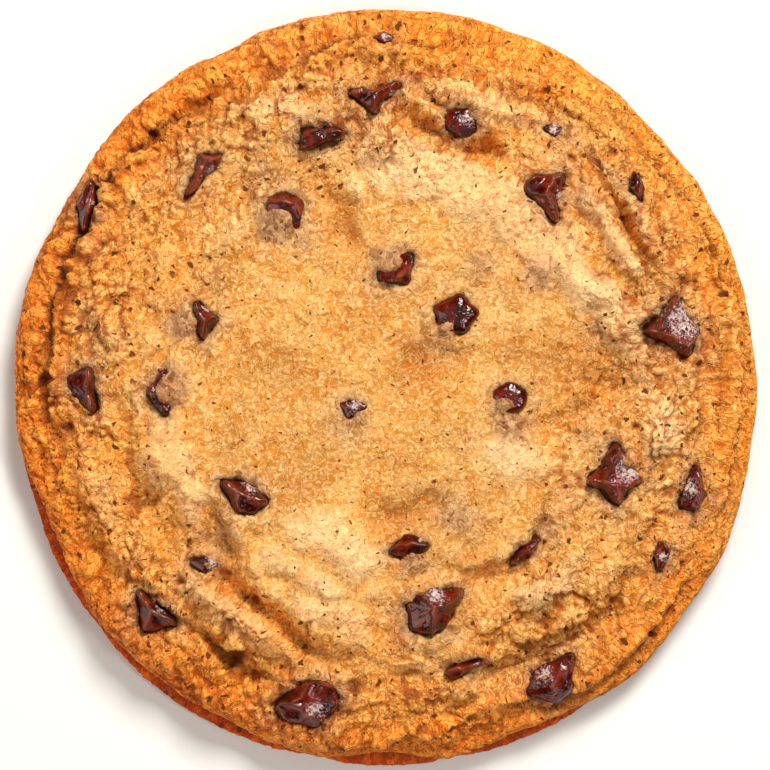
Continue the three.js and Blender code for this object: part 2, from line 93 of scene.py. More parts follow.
# Folds that opened as the dough spread and set: depth, half-width, and stations of angle and radius.
FOLDS = [
    (0.8, 1.2, [(195, 25.3), (210, 24.6), (223, 25.3), (235, 28.8), (253, 31.4), (262, 32.4), (272, 31.2)]),
    (1.0, 1.1, [(279, 32.0), (293, 35.4), (308, 37.0), (322, 36.0)]),
    (0.8, 0.85, [(187, 37.6), (203, 39.0), (218, 37.2), (241, 36.2), (254, 37.4)]),
    (0.9, 0.9, [(116, 39.6), (131, 40.2), (142, 41.6), (153, 40.2), (164, 40.5), (171, 39.6), (180, 40.5),
                (192, 38.4)]),
    (0.8, 0.9, [(92, 42.2), (102, 40.0), (107, 39.2), (116, 41.4)]),
    (0.9, 1.0, [(72, 39.4), (84, 40.6), (95, 41.4)]),
    (0.9, 1.0, [(68, 32.0), (79, 33.3), (86, 36.2)]),
    (1.0, 1.1, [(38, 36.0), (49, 36.4), (56, 36.6), (63, 38.0), (70, 35.8), (82, 37.3)]),
    (0.9, 1.2, [(54, 27.2), (66, 28.4), (75, 29.6), (87, 31.0), (97, 29.4), (111, 28.6), (124, 28.7)]),
    (0.4, 0.9, [(12, 31.0), (25, 28.4), (39, 25.8), (47, 27.0)]),
    (0.8, 1.0, [(18, 35.0), (27, 32.9), (37, 34.0), (45, 32.4)]),
    (1.0, 1.1, [(289, 24.6), (305, 24.9), (319, 24.6), (337, 22.2)]),
    (0.5, 0.9, [(342, 25.0), (346, 19.0), (347, 14.0)]),
    (0.9, 0.8, [(336, 42.6), (347, 42.0), (356, 41.6), (364, 42.3), (376, 42.5), (387, 41.5), (398, 41.6),
                (411, 42.4)]),
    (0.7, 0.8, [(293, 42.2), (300, 43.2), (315, 43.4), (324, 42.3), (330, 43.2)]),
    (0.9, 0.9, [(262, 43.8), (271, 42.0), (283, 42.2), (291, 41.2)]),
    (0.8, 0.8, [(281, 40.8), (290, 40.0), (301, 42.2)]),
    (0.7, 0.9, [(158, 38.0), (166, 36.0), (173, 32.6)]),
    (0.7, 0.9, [(344, 36.0), (354, 37.6), (366, 36.4)]),
]
FOLD_FADE = 0.22

# How far each fold tore open into a crack, in the order of the folds. The crack is cut into the dough and
# painted dark as the shade in it.
FOLD_CRACKS = [
    0.5, 0.6, 0.7, 1.0, 0.9, 0.7, 0.6, 0.7, 0.5, 0.5, 0.7, 0.5, 0.3, 1.0, 1.0, 0.9, 0.8, 0.5, 0.4,
]

# Ridges and troughs of the top: rise, half-width and a line. The ridges are coloured pale and the troughs
# between them golden:
# partly dough that dried pale or pooled buttery as it spread, partly painted highlight on the ridges and
# painted shade in the troughs.
SWELLS = [
    (1.2, 3.2, [(-5.0, 25.0), (-1, 26.6), (5, 25.8), (10, 23.8), (13.4, 20.6), (15.8, 17.0)]),
    (-1.1, 1.3, [(3, 30.6), (8, 29.4), (12, 27.8), (15, 25.4)]),
    (0.6, 1.6, [(3.5, 34), (8, 34.4), (13, 32.2), (17, 30.4), (19.5, 27.8)]),
    (0.5, 1.1, [(22.3, 28.5), (24.5, 26.5), (27.5, 23.5), (31, 19), (32.8, 15)]),
    (-0.6, 0.7, [(23.0, 26.2), (26, 22.5), (29.3, 18), (31.2, 14.5)]),
    (0.7, 1.1, [(22.2, 22.8), (25.3, 19.8), (28.0, 16.2), (30, 12.5)]),
    (-0.1, 0.8, [(21.0, 18.9), (23.2, 16.9), (26.3, 13.9), (28.6, 10.8)]),
    (1.2, 2.2, [(18.8, 17.8), (21.2, 14.8), (24.6, 10.8), (27.3, 7.4), (29, 4)]),
    (-0.7, 1.5, [(27, 4), (26.4, 0.8), (24.5, -2.6), (20.5, -4.9), (17, -5.2)]),
    (0.6, 2.0, [(31.2, -1), (33, -4.5), (32.4, -9)]),
    (0.7, 2.4, [(11, -7), (15.5, -8.4), (20, -8)]),
    (-0.7, 1.6, [(-3, -14.6), (0.6, -15.8), (4.5, -14.4), (8.5, -12.4)]),
    (-0.7, 1.0, [(18.8, -17.6), (15.2, -20.4), (11, -21.6), (8, -21.4)]),
    (0.6, 1.9, [(22, -20.6), (18, -23.2), (13, -24.6)]),
    (-0.7, 1.1, [(29.6, -22), (26.8, -25.6), (22, -28.6), (16.5, -30.6), (10, -30)]),
    (0.8, 2.6, [(-9.8, -15.2), (-6, -16.8), (-3.4, -19.5), (-2.6, -22.5)]),
    (0.5, 3.2, [(-12, -20.5), (-9, -24.5), (-4.5, -27.5)]),
    (-0.6, 1.3, [(-20, -14), (-19.7, -18), (-18.6, -21.9), (-16, -25), (-12.4, -27.7), (-9, -30.2),
                 (-5.5, -32)]),
    (0.9, 1.4, [(-24, -21), (-21.5, -24.3), (-17, -27.1), (-13.6, -29.4), (-10.6, -31.2)]),
    (-0.7, 0.9, [(-22.3, -28), (-18.5, -31), (-15, -33.2), (-12.5, -34.6)]),
    (0.9, 2.2, [(-27, -3.5), (-25.2, -7), (-23, -11.5), (-21, -16.2)]),
    (-0.3, 1.1, [(-30.2, -1), (-31.2, -6), (-30.4, -10.5), (-28, -15.2), (-25, -19)]),
    (0.5, 1.5, [(-35.2, -4.5), (-34.6, -9), (-32.6, -14.3), (-30, -18.5), (-26.5, -22)]),
    (-0.6, 1.5, [(-17.6, 20.5), (-15, 24.3), (-11.6, 26.6)]),
    (-0.8, 1.6, [(-8.6, 25), (-6.2, 21.4), (-4.8, 18.2), (-2.6, 15.4)]),
    (0.5, 1.8, [(-18.5, 30.8), (-14, 32.8), (-8.5, 34)]),
    (-0.5, 1.2, [(-28, 26.5), (-24.5, 30.5), (-19.5, 34.2), (-13, 36.6)]),
    (0.4, 1.3, [(-35.5, 13), (-34, 7), (-33.6, 3.5)]),
    (-0.5, 2.6, [(2.6, 5), (6, 2.6), (9.5, 1.6)]),
    (-0.5, 1.2, [(36.5, 15), (38, 8), (38.4, 1), (37.6, -5)]),
]

# Ripples that run round the cookie, and crags: their spacing or size, rise and band.
RIPPLE_SPACING = 5.2
RIPPLE_RISE = 0.2
RIPPLE_BAND = (22, 38)
CRAG_SIZE = 3.1
CRAG_RISE_MIDDLE = 0.18
CRAG_RISE_EDGE = 0.55
CRAG_BAND = (22, 32)

# Chocolate chips: place, rise over the dough, bow, cover and corners. Bow pulls the sides in between the
# corners, or out where it is negative. Cover is the dough that crept over the chip, if any: x and y from its
# middle, spread and rise. Corners are angle and reach.
CHIP_ROWS = [
    ((-1.2, 34.1), 0.9, 0.16, (0.9, 2.3, 1.3, 0.5), [(27, 4.7), (172, 4.1), (267, 2.5)]),
    ((-7.1, 29.0), 0.8, 0.04, (0.6, 2.8, 1.6, 0.6), [(11, 3.1), (45, 2.1), (157, 3.0), (210, 3.3)]),
    ((-21.2, 24.7), 0.9, 0.1, (2.0, -1.6, 1.2, 0.4), [(42, 4.2), (101, 3.0), (234, 4.9)]),
    ((-11.8, 20.4), 0.9, -0.06, (-0.9, -1.3, 2.5, 1.3),
     [(20, 2.8), (80, 2.8), (140, 2.9), (230, 2.6), (310, 2.6)]),
    ((-34.9, 20.9), 0.7, 0.05, (1.6, -0.4, 1.2, 0.4), [(45, 2.0), (82, 4.3), (150, 1.6), (265, 3.7)]),
    ((18.7, 22.3), 1.2, 0.1, (2.3, -0.6, 1.4, 0.5), [(50, 4.0), (125, 3.3), (165, 3.1), (289, 4.0)]),
    ((9.0, 31.4), 0.4, 0, (1.2, 0.7, 1.0, 0.4), [(60, 1.6), (150, 2.0), (322, 2.3)]),
    ((29.3, 23.6), 0.6, -0.05, None, [(0, 1.0), (100, 2.1), (180, 0.9), (285, 2.1)]),
    ((19.5, 30.1), 0.4, -0.05, None, [(10, 1.3), (90, 0.8), (165, 1.2), (270, 0.8)]),
    ((1.3, 13.9), 0.9, -0.08, (-1.0, 1.2, 2.2, 1.1), [(45, 2.7), (135, 2.4), (210, 2.7), (310, 2.5)]),
    ((8.2, 8.4), 1.1, -0.06, (-1.1, -1.5, 1.3, 1.0),
     [(10, 2.9), (80, 2.8), (160, 2.9), (230, 2.7), (300, 2.3)]),
    ((33.1, 7.1), 1.3, 0.1, None, [(80, 4.4), (188, 3.6), (302, 4.8), (353, 3.7)]),
    ((-21.2, 8.0), 0.9, 0.08, (-1.7, -0.4, 1.5, 0.7), [(3, 2.1), (108, 2.7), (190, 1.5), (272, 2.7)]),
    ((-35.1, -0.2), 1.0, 0, None, [(72, 3.3), (149, 2.7), (210, 1.5), (297, 3.7)]),
    ((-26.0, -0.4), 0.9, -0.04, (1.2, 0.2, 2.4, 1.2), [(10, 2.0), (80, 3.2), (180, 1.9), (280, 3.4)]),
    ((-3.8, -2.4), 0.4, 0, (0.9, -0.9, 1.0, 0.5), [(10, 2.2), (90, 1.2), (155, 1.8), (250, 1.4)]),
    ((14.4, -1.0), 0.9, -0.06, (-0.7, -1.4, 1.9, 0.9),
     [(20, 2.3), (95, 2.0), (170, 2.3), (250, 2.2), (320, 2.3)]),
    ((26.6, -9.8), 1.2, 0.16, (1.8, 1.4, 1.2, 0.3), [(90, 4.3), (197, 3.9), (278, 4.2), (349, 3.7)]),
    ((35.8, -11.6), 0.8, 0.02, None, [(84, 3.6), (228, 2.8), (281, 3.0), (335, 1.8)]),
    ((32.1, -19.6), 0.5, 0, None, [(18, 1.2), (97, 2.1), (170, 0.9), (263, 2.0)]),
    ((-16.4, -12.4), 1.1, 0, (0.8, 2.3, 1.2, 0.6),
     [(74, 1.8), (149, 3.7), (247, 2.4), (300, 2.5), (346, 3.5)]),
    ((-21.2, -20.4), 0.4, 0, (1.0, 0.5, 1.1, 0.5), [(0, 2.0), (90, 1.1), (170, 1.9), (270, 1.0)]),
    ((-26.9, -25.7), 1.0, 0.05, (1.5, 1.4, 1.3, 0.4), [(129, 3.8), (242, 3.4), (330, 3.8)]),
    ((2.8, -18.4), 0.8, -0.03, (0.4, -1.7, 1.5, 0.8),
     [(0, 2.9), (75, 1.7), (110, 1.7), (195, 2.8), (270, 1.4)]),
    ((16.1, -19.1), 0.4, 0, (1.2, 0.4, 0.9, 0.5), [(48, 3.6), (135, 0.8), (216, 2.8), (315, 0.9)]),
    ((5.6, -25.6), 1.3, 0, (-2.9, 1.7, 1.2, 0.4),
     [(34, 4.8), (97, 2.7), (164, 3.7), (220, 3.7), (262, 3.4), (310, 2.6)]),
    ((-8.9, -36.8), 1.1, 0, None, [(0, 3.7), (41, 4.1), (106, 2.9), (183, 4.6), (216, 3.6), (287, 3.2)]),
    ((9.1, -32.7), 0.5, 0, (1.4, -0.4, 1.1, 0.5), [(24, 3.4), (100, 1.1), (183, 2.5), (228, 1.9)]),
    ((19.5, -34.2), 0.8, 0.04, (-1.2, 1.2, 1.1, 0.5),
     [(57, 4.7), (151, 2.8), (206, 3.7), (288, 2.9), (337, 2.8)]),
    ((-0.1, 41.0), 0.3, -0.05, None, [(0, 1.3), (90, 0.7), (180, 1.4), (270, 0.7)]),
]
CHIPS = [dict(zip(("at", "rise", "bow", "cover", "corners"), row)) for row in CHIP_ROWS]

# Dark pits where a bubble broke: x, y, half-width and depth.
PITS = [
    (34.9, 12.7, 0.75, 1.2), (28.9, -4.3, 0.5, 0.8), (26.6, -24.8, 0.45, 0.7), (-17.4, -31.5, 0.9, 0.8),
    (-34.4, -14.0, 0.6, 0.9), (-20.4, 28.6, 0.4, 0.6), (-31.7, 23.9, 0.45, 0.6), (-32.7, 16.8, 0.5, 0.7),
    (-3.6, -34.8, 0.8, 0.7), (-37.0, -4.5, 0.5, 0.8), (21.6, 26.9, 0.5, 0.6), (-15.2, -24.6, 0.5, 0.6),
    (-24.0, -22.4, 0.55, 0.7), (28.2, -11.0, 0.4, 0.6), (-9.6, 34.8, 0.45, 0.6), (3.6, 36.2, 0.5, 0.6),
]

# Dough that melted chocolate has greyed, with none showing: x, y, spread and strength.
STAINS = [
    (17.6, 13.0, 2.8, 1.0), (11.1, 14.0, 3.2, 0.8), (-24.1, 7.2, 2.6, 1.0), (-20.4, -17.6, 2.8, 0.75),
    (14.0, 11.0, 3.0, 0.6), (14.6, -4.6, 2.8, 1.0), (-9.6, 17.4, 2.8, 0.7), (3.0, -21.0, 2.8, 0.6),
    (18.8, -16.4, 2.2, 0.9), (22.4, 22.2, 2.6, 0.7), (-14.5, 25.0, 3.0, 0.7), (24.4, 6.6, 1.6, 0.8),
    (8.2, -14.8, 2.8, 0.95), (-4.0, -3.6, 3.0, 0.8), (6.4, 5.4, 2.4, 0.6), (30.0, 2.6, 2.4, 0.5),
    (-22.4, -22.6, 2.0, 0.6), (23.4, -5.4, 2.2, 0.7), (10.6, -33.6, 2.0, 0.5), (21.0, 29.6, 1.8, 0.8),
]

# Places that browned a little deeper on the soft middle: x, y, spread and strength.
TOASTED = [
    (4.0, 3.0, 3.6, 0.95), (22.0, 3.6, 4.4, 0.95), (3.0, -14.8, 2.8, 0.9), (-5.2, 19.6, 2.6, 0.9),
    (8.5, -5.5, 3.0, 0.5), (-12.5, 3.0, 4.0, 0.5), (14.5, 5.0, 2.6, 0.6), (-8.5, -9.0, 3.4, 0.5),
    (11.5, 19.0, 2.4, 0.5), (-19.0, 14.0, 3.4, 0.45), (-3.0, 7.5, 3.0, 0.35), (10.0, -19.5, 2.6, 0.5),
    (-18.0, -6.0, 2.6, 0.4), (2.0, -9.0, 2.6, 0.4),
]


def bell(distance, spread):
    """1 at no distance, falling away smoothly over the spread."""
    return np.exp(-((distance / spread) ** 2))


def smooth(low, high, value):
    """0 up to low, 1 from high on, and a smooth step between them."""
    share = np.clip((value - low) / (high - low), 0, 1)
    return share * share * (3 - 2 * share)


def turn_between(a, b):
    return np.abs((a - b + 180) % 360 - 180)


def outline_radius(angle):
    radius = MEAN_RADIUS - OVAL * np.cos(np.radians(2 * angle))
    for at, out, wide in OUTLINE_LOBES:
        radius = radius + out * bell(turn_between(angle, at), wide)
    return radius


def foot_spread(angle):
    spreads = [out * bell(turn_between(angle, at), wide) for at, out, wide in FOOT_SPREADS]
    return np.max(spreads, axis=0)


def lip_radius(angle):
    return outline_radius(angle) - foot_spread(angle)


def foot_radius(angle):
    return outline_radius(angle) - FOOT_INSET * (1 - smooth(0, 0.8, foot_spread(angle)))


def groove_radius(angle):
    inset = GROOVE_INSET + GROOVE_INSET_SPREAD * smooth(0, 1, foot_spread(angle))
    return np.minimum(lip_radius(angle), foot_radius(angle) + FOOT_INSET / 2) - inset


CORNER_CUT = 0.25


def smoothed_line(stations):
    """Cuts the corners of a line of stations twice, between the same ends."""
    line = [(r * math.cos(math.radians(a)), r * math.sin(math.radians(a))) for a, r in stations]
    for _ in range(2):
        cut = [line[0]]
        for (ax, ay), (bx, by) in zip(line, line[1:]):
            for share in (CORNER_CUT, 1 - CORNER_CUT):
                cut.append(((1 - share) * ax + share * bx, (1 - share) * ay + share * by))
        line = cut + [line[-1]]
    return line


def nearest_on(line, x, y):
    """Distance to a line, share of its length at the nearest place, and how far out that place is."""
    distance = np.full(x.shape, np.inf)
    along = np.zeros(x.shape)
    reach = np.zeros(x.shape)
    gone = 0
    for (ax, ay), (bx, by) in zip(line, line[1:]):
        length = math.hypot(bx - ax, by - ay)
        share = np.clip(((x - ax) * (bx - ax) + (y - ay) * (by - ay)) / length**2, 0, 1)
        px, py = ax + share * (bx - ax), ay + share * (by - ay)
        away = np.hypot(x - px, y - py)
        nearer = away < distance
        distance = np.where(nearer, away, distance)
        along = np.where(nearer, gone + share * length, along)
        reach = np.where(nearer, np.hypot(px, py), reach)
        gone += length
    return distance, along / gone, reach


def scatter(i, j, seed):
    """A fixed scatter of values from 0 to 1 on a square grid: the last digits of a large sine."""
    value = np.sin(i * 127.1 + j * 311.7 + seed * 74.7) * 43758.5453
    return value - np.floor(value)


def soft_noise(x, y, size, seed):
    """Smooth noise from -1 to 1, with lumps of the given size."""
    i, j = np.floor(x / size), np.floor(y / size)
    p, q = x / size - i, y / size - j
    p, q = p * p * (3 - 2 * p), q * q * (3 - 2 * q)
    near = scatter(i, j, seed) * (1 - p) + scatter(i + 1, j, seed) * p
    far = scatter(i, j + 1, seed) * (1 - p) + scatter(i + 1, j + 1, seed) * p
    return 2 * (near * (1 - q) + far * q) - 1


def rough_noise(x, y, size, seed, octaves=3):
    """Soft noise with finer and fainter layers of itself, each turned against the last."""
    total = np.zeros(x.shape)
    for octave in range(octaves):
        turned_x, turned_y = 0.8 * x - 0.6 * y, 0.6 * x + 0.8 * y
        x, y = turned_x, turned_y
        total += soft_noise(x, y, size / 2**octave, seed + octave) / 2**octave
    return total


def crumb_cells(x, y, size, seed):
    """Distance to the nearest and the next crumb, in crumb sizes, and a value for the nearest one."""
    i, j = np.floor(x / size), np.floor(y / size)
    first = np.full(x.shape, np.inf)
    second = np.full(x.shape, np.inf)
    value = np.zeros(x.shape)
    for a in (-1, 0, 1):
        for b in (-1, 0, 1):
            away_x = i + a + 0.15 + 0.7 * scatter(i + a, j + b, seed) - x / size
            away_y = j + b + 0.15 + 0.7 * scatter(i + a, j + b, seed + 9) - y / size
            away = np.hypot(away_x, away_y)
            nearer = away < first
            second = np.where(nearer, first, np.minimum(second, away))
            value = np.where(nearer, scatter(i + a, j + b, seed + 17), value)
            first = np.where(nearer, away, first)
    return first, second, value


def mound_relief(x, y):
    return sum(rise * bell(np.hypot(x - mx, y - my), spread) for mx, my, spread, rise in MOUNDS)


def crown_height(radius):
    share = radius / (MEAN_RADIUS - EDGE_ROUND)
    return CROWN_HEIGHT - (CROWN_HEIGHT - SHOULDER_HEIGHT) * share**CROWN_FULLNESS


def chip_level(x, y):
    """Level that a chip sits at: the crown and its mounds, without the folds."""
    radius = np.hypot(x, y)
    flat = lip_radius(np.degrees(np.arctan2(y, x))) - EDGE_ROUND
    turn = np.arcsin(np.clip((radius - flat) / EDGE_ROUND, 0, 1))
    return LIP_HEIGHT + (crown_height(radius) + mound_relief(x, y) - LIP_HEIGHT) * np.cos(turn)


VISIBLE_BOW = 0.4
WIDEST_CORNER = 170
LEAST_REACH = 0.3
BLUNT_TURNS = (-9, -4.5, 0, 4.5, 9)


def sharp_reach(chip, angle):
    """How far a chip's outline is from its middle, with straight or bowed sides between sharp corners."""
    corners = chip["corners"]
    reach = np.zeros(angle.shape)
    for (start, near), (end, far) in zip(corners, corners[1:] + corners[:1]):
        sweep = (end - start) % 360
        ahead = (angle - start) % 360
        here = ahead <= sweep
        a, b = np.radians(ahead), math.radians(sweep)
        straight = near * far * math.sin(b) / (near * np.sin(a) + far * np.sin(b - a) + 1e-9)
        share = near * np.sin(a) / (near * np.sin(a) + far * np.sin(b - a) + 1e-9)
        side = math.sqrt(near**2 + far**2 - 2 * near * far * math.cos(b))
        if sweep > WIDEST_CORNER:
            straight = near + (far - near) * ahead / sweep
            share = ahead / sweep
        bowed = straight - VISIBLE_BOW * chip["bow"] * side * 4 * share * (1 - share)
        reach = np.where(here, np.maximum(LEAST_REACH, bowed), reach)
    return reach


def chip_reach(chip, angle):
    """How far a chip's outline is from its middle, with its corners blunted as they melted."""
    return np.mean([sharp_reach(chip, (angle + turn) % 360) for turn in BLUNT_TURNS], axis=0)


def mean_corner(chip):
    return sum(corner[1] for corner in chip["corners"]) / len(chip["corners"])


def six_sided_fan(level, all_cuts):
    """A flat six-sided fan of even triangles, left in edit mode."""
    bpy.ops.object.select_all(action="DESELECT")
    bpy.ops.mesh.primitive_circle_add(vertices=6, radius=1, fill_type="TRIFAN", location=(0, 0, level))
    bpy.ops.object.mode_set(mode="EDIT")
    bpy.ops.mesh.select_all(action="SELECT")
    for cuts in all_cuts:
        bpy.ops.mesh.subdivide(number_cuts=cuts)
    return bpy.context.active_object


def vertex_places(piece):
    places = np.zeros(len(piece.data.vertices) * 3)
    piece.data.vertices.foreach_get("co", places)
    return places.reshape(-1, 3)


def place_vertices(piece, points):
    """Moves a piece's vertices to points in millimetres."""
    piece.data.vertices.foreach_set("co", (points * MM).ravel())
    piece.data.update()


def write_fields(piece, fields):
    """Stores a value at each vertex for every field that the piece's material reads."""
    for name, values in fields.items():
        field = piece.data.attributes.new(name, "FLOAT", "POINT")
        field.data.foreach_set("value", values.astype(np.float32))


# A fan for the top, with sides pulled down from its rim, and a coarser fan for the underside.
dough = six_sided_fan(0, TOP_CUTS)
dough.name = "dough_crust"
bpy.ops.mesh.select_all(action="DESELECT")
bpy.ops.mesh.select_mode(type="EDGE")
bpy.ops.mesh.select_non_manifold()
for _ in range(SIDE_RINGS):
    bpy.ops.mesh.extrude_edges_move(TRANSFORM_OT_translate={"value": (0, 0, -1)})
bpy.ops.object.mode_set(mode="OBJECT")
six_sided_fan(-SIDE_RINGS - 1, BASE_CUTS)
bpy.ops.mesh.flip_normals()
bpy.ops.object.mode_set(mode="OBJECT")
bpy.ops.object.transform_apply(location=True, rotation=True, scale=True)
dough.select_set(True)
bpy.context.view_layer.objects.active = dough
bpy.ops.object.join()
bpy.ops.object.mode_set(mode="EDIT")
bpy.ops.mesh.select_mode(type="EDGE")
bpy.ops.mesh.select_all(action="DESELECT")
bpy.ops.mesh.select_non_manifold()
bpy.ops.mesh.bridge_edge_loops()
bpy.ops.mesh.select_all(action="SELECT")
bpy.ops.mesh.normals_make_consistent(inside=False)
bpy.ops.object.mode_set(mode="OBJECT")

# Each vertex of the fan gets its share of the way to the rim and its angle.
FAN_TURN = 30
grid = vertex_places(dough)
raw = (np.degrees(np.arctan2(grid[:, 1], grid[:, 0])) - FAN_TURN) % 360
sector = np.floor(raw / 60 + 1e-6)
start = np.radians(60 * sector + FAN_TURN)
cross_next = grid[:, 0] * np.sin(start + math.pi / 3) - grid[:, 1] * np.cos(start + math.pi / 3)
cross_this = grid[:, 1] * np.cos(start) - grid[:, 0] * np.sin(start)
share = (cross_next + cross_this) / math.sin(math.pi / 3)
angle = 60 * (sector + cross_this / np.maximum(cross_next + cross_this, 1e-9)) + FAN_TURN
cos_angle, sin_angle = np.cos(np.radians(angle)), np.sin(np.radians(angle))
side_step = -grid[:, 2]
on_top = side_step < 0.5
on_base = side_step > SIDE_RINGS + 0.5
on_side = ~on_top & ~on_base

# The smooth shell: a dome that turns over at the rim, down to the lip, the groove and the foot.
lip = lip_radius(angle)
flat = lip - EDGE_ROUND
fall = crown_height(flat) - LIP_HEIGHT
round_length = math.pi / 2 * np.sqrt((EDGE_ROUND**2 + fall**2) / 2)
along = np.where(on_base, 0, share) * (flat + round_length)
turn = np.maximum(0, (along - flat) / round_length) * math.pi / 2
radius = np.minimum(along, flat) + EDGE_ROUND * np.sin(turn)
height = LIP_HEIGHT + (crown_height(radius) - LIP_HEIGHT) * np.cos(turn)

side_heights = [LIP_HEIGHT, 2.75, GROOVE_HEIGHT, 1.85, 1.6, 1.3, FOOT_HEIGHT, 0.45, 0.12, 0]
groove, foot = groove_radius(angle), foot_radius(angle)
side_radii = [
    lip, lip - 0.3 * (lip - groove) - 0.05, groove, 0.67 * groove + 0.33 * foot,
    0.35 * groove + 0.65 * foot, 0.1 * groove + 0.9 * foot, foot, foot - 0.12,
    foot - 0.55 * BASE_INSET, foot - BASE_INSET,
]
for step in range(1, SIDE_RINGS + 1):
    here = on_side & (np.round(side_step) == step)
    radius = np.where(here, side_radii[step], radius)
    height = np.where(here, side_heights[step], height)
radius = np.where(on_base, share * (foot - BASE_INSET - 0.25), radius)
height = np.where(on_base, 0, height)
along = np.where(on_side, along + (LIP_HEIGHT - height), along)
u, v = along * cos_angle, along * sin_angle
x, y = radius * cos_angle, radius * sin_angle

# Folds: the inner layer rolls over and drops to the outer one, with a crack where they meet, painted dark as
# the shade in it.
FOLD_GAIN = 1.55
SLIT_WIDTH = 0.24
SLIT_DEPTH = 0.8
ROLL_RISE = 0.5
DROP_DEPTH = 0.8
WANDER_WIDE = (0.42, 2.6)
WANDER_FINE = (0.16, 0.9)
wander = WANDER_WIDE[0] * rough_noise(u, v, WANDER_WIDE[1], 3)
wander = wander + WANDER_FINE[0] * rough_noise(u, v, WANDER_FINE[1], 5, 2)
fold_relief = np.zeros(x.shape)
crack_shade = np.zeros(x.shape)
valley = np.zeros(x.shape)
for number, (depth, wide, stations) in enumerate(FOLDS):
    distance, share_along, reach = nearest_on(smoothed_line(stations), x, y)
    side = np.where(radius > reach, distance, -distance) + wander
    end = np.minimum(share_along, 1 - share_along)
    fade = 0.25 + 0.75 * smooth(0, FOLD_FADE, end)
    near = bell(np.maximum(distance - 1.5 * wide, 0), 0.8 * wide)
    open_share = 0.8 + 0.35 * soft_noise(u, v, 4.3, 30 + number)
    roll = ROLL_RISE * bell(side + 1.6 * wide, 1.4 * wide)
    drop = np.where(side > 0, bell(side, 2.1 * wide), bell(side, 0.55 * wide))
    torn = FOLD_CRACKS[number]
    gate = smooth(0.3, 0.8, open_share) if torn == 1 else smooth(0.72, 0.98, open_share)
    slit = bell(side, SLIT_WIDTH) * gate * torn
    fold_relief += FOLD_GAIN * depth * fade * open_share * near * (roll - DROP_DEPTH * drop)
    fold_relief -= SLIT_DEPTH * fade * near * slit
    # Painted shade: the crack and the ground just outside it are coloured dark.
    crack_shade = np.maximum(crack_shade, fade * near * (0.4 * torn * gate * bell(side - 0.2, 0.6) + 0.7 * slit))
    valley = np.maximum(valley, fade * near * bell(side - 0.5, 1.3 * wide))

# The crust is longer down the steep side of each fold, so the crumbs keep their size there.
SCARP_STRETCH = 0.4
laid = np.where(on_top, along - SCARP_STRETCH * fold_relief, along)
u, v = laid * cos_angle, laid * sin_angle

# Small cracks that run round the crumbly band, where the crust tore between layers.
TEAR_SIZE = 2.6
TEAR_DEPTH = 0.45
TEAR_WIDTH = 0.12
TEAR_GATE = (0.6, 0.8)
TEAR_RADIUS = 33
TEAR_STRETCH = 2.6
WARP = 1.1
WARP_SIZE = 3.2
band_shift = soft_noise(u, v, 6.5, 71)
outer_band = smooth(17, 39, along + 5 * band_shift)
warp_u = u + WARP * rough_noise(u, v, WARP_SIZE, 11)
warp_v = v + WARP * rough_noise(u, v, WARP_SIZE, 13)
warped_along = np.hypot(warp_u, warp_v)
warped_angle = np.unwrap(np.arctan2(warp_v, warp_u))
ring_v = warped_angle * TEAR_RADIUS / TEAR_STRETCH
first, second, tear_value = crumb_cells(warped_along, ring_v, TEAR_SIZE, 21)
tear = bell(second - first, TEAR_WIDTH) * smooth(*TEAR_GATE, tear_value) * outer_band
tear_relief = -TEAR_DEPTH * tear

# Crumb: rounded clusters, then finer grains. Each kind has a size, and its relief in the middle with what
# the outer band and the lumpy edge add to it.
CLUMP_SIZE = 3.1
CLUMP_RELIEF = (0.05, 0.15, 0.22)
LUMP_SIZE = 1.55
LUMP_RELIEF = (0.08, 0.28, 0.06)
GRAIN_SIZE = 0.9
GRAIN_RELIEF = (0.10, 0.14, 0)
DUST_SIZE = 0.75
DUST_RELIEF = (0.05, 0.06, 0)


def rounded_crumbs(x, y, size, seed, seam, low, more):
    """Crumbs that round off to the seams between them, some higher than others."""
    first, second, value = crumb_cells(x, y, size, seed)
    return smooth(*seam, second - first) * (low + more * value)


def banded(middle, band, edge):
    """A relief that grows from the middle of the cookie to its lumpy edge."""
    return middle + band * outer_band + edge * lumpy_band


clump = rounded_crumbs(warp_u, warp_v, CLUMP_SIZE, 41, (-0.05, 0.55), 0.6, 0.5)
lump = rounded_crumbs(warp_u + 0.4 * wander, warp_v - 0.4 * wander, LUMP_SIZE, 51, (-0.05, 0.55), 0.55, 0.5)
grain = rounded_crumbs(u + 0.5 * wander, v - 0.5 * wander, GRAIN_SIZE, 43, (0, 0.45), 0.4, 0.6)
lumpy_band = smooth(27, 41, along + 4 * band_shift)
crumb_relief = banded(*CLUMP_RELIEF) * (clump - 0.55)
crumb_relief += banded(*LUMP_RELIEF) * (lump - 0.5)
crumb_relief += banded(*GRAIN_RELIEF) * (grain - 0.55)
crumb_relief += banded(*DUST_RELIEF) * rough_noise(u, v, DUST_SIZE, 47, 2)

# Pits: the broken bubbles that stand out, and fine pinholes wherever the scatter puts them.
pit = np.zeros(x.shape)
for px, py, wide, deep in PITS:
    pit = pit + deep * bell(np.hypot(x - px + 0.3 * wander, (y - py) * 1.25 - 0.3 * wander), wide)
PINHOLE_SPACING = 2.1
PINHOLE_WIDTH = 0.3
PINHOLE_DEPTH = 0.35
first, second, hole_value = crumb_cells(u, v, PINHOLE_SPACING, 61)
pinhole = bell(first * PINHOLE_SPACING, PINHOLE_WIDTH) * (hole_value > 0.62)

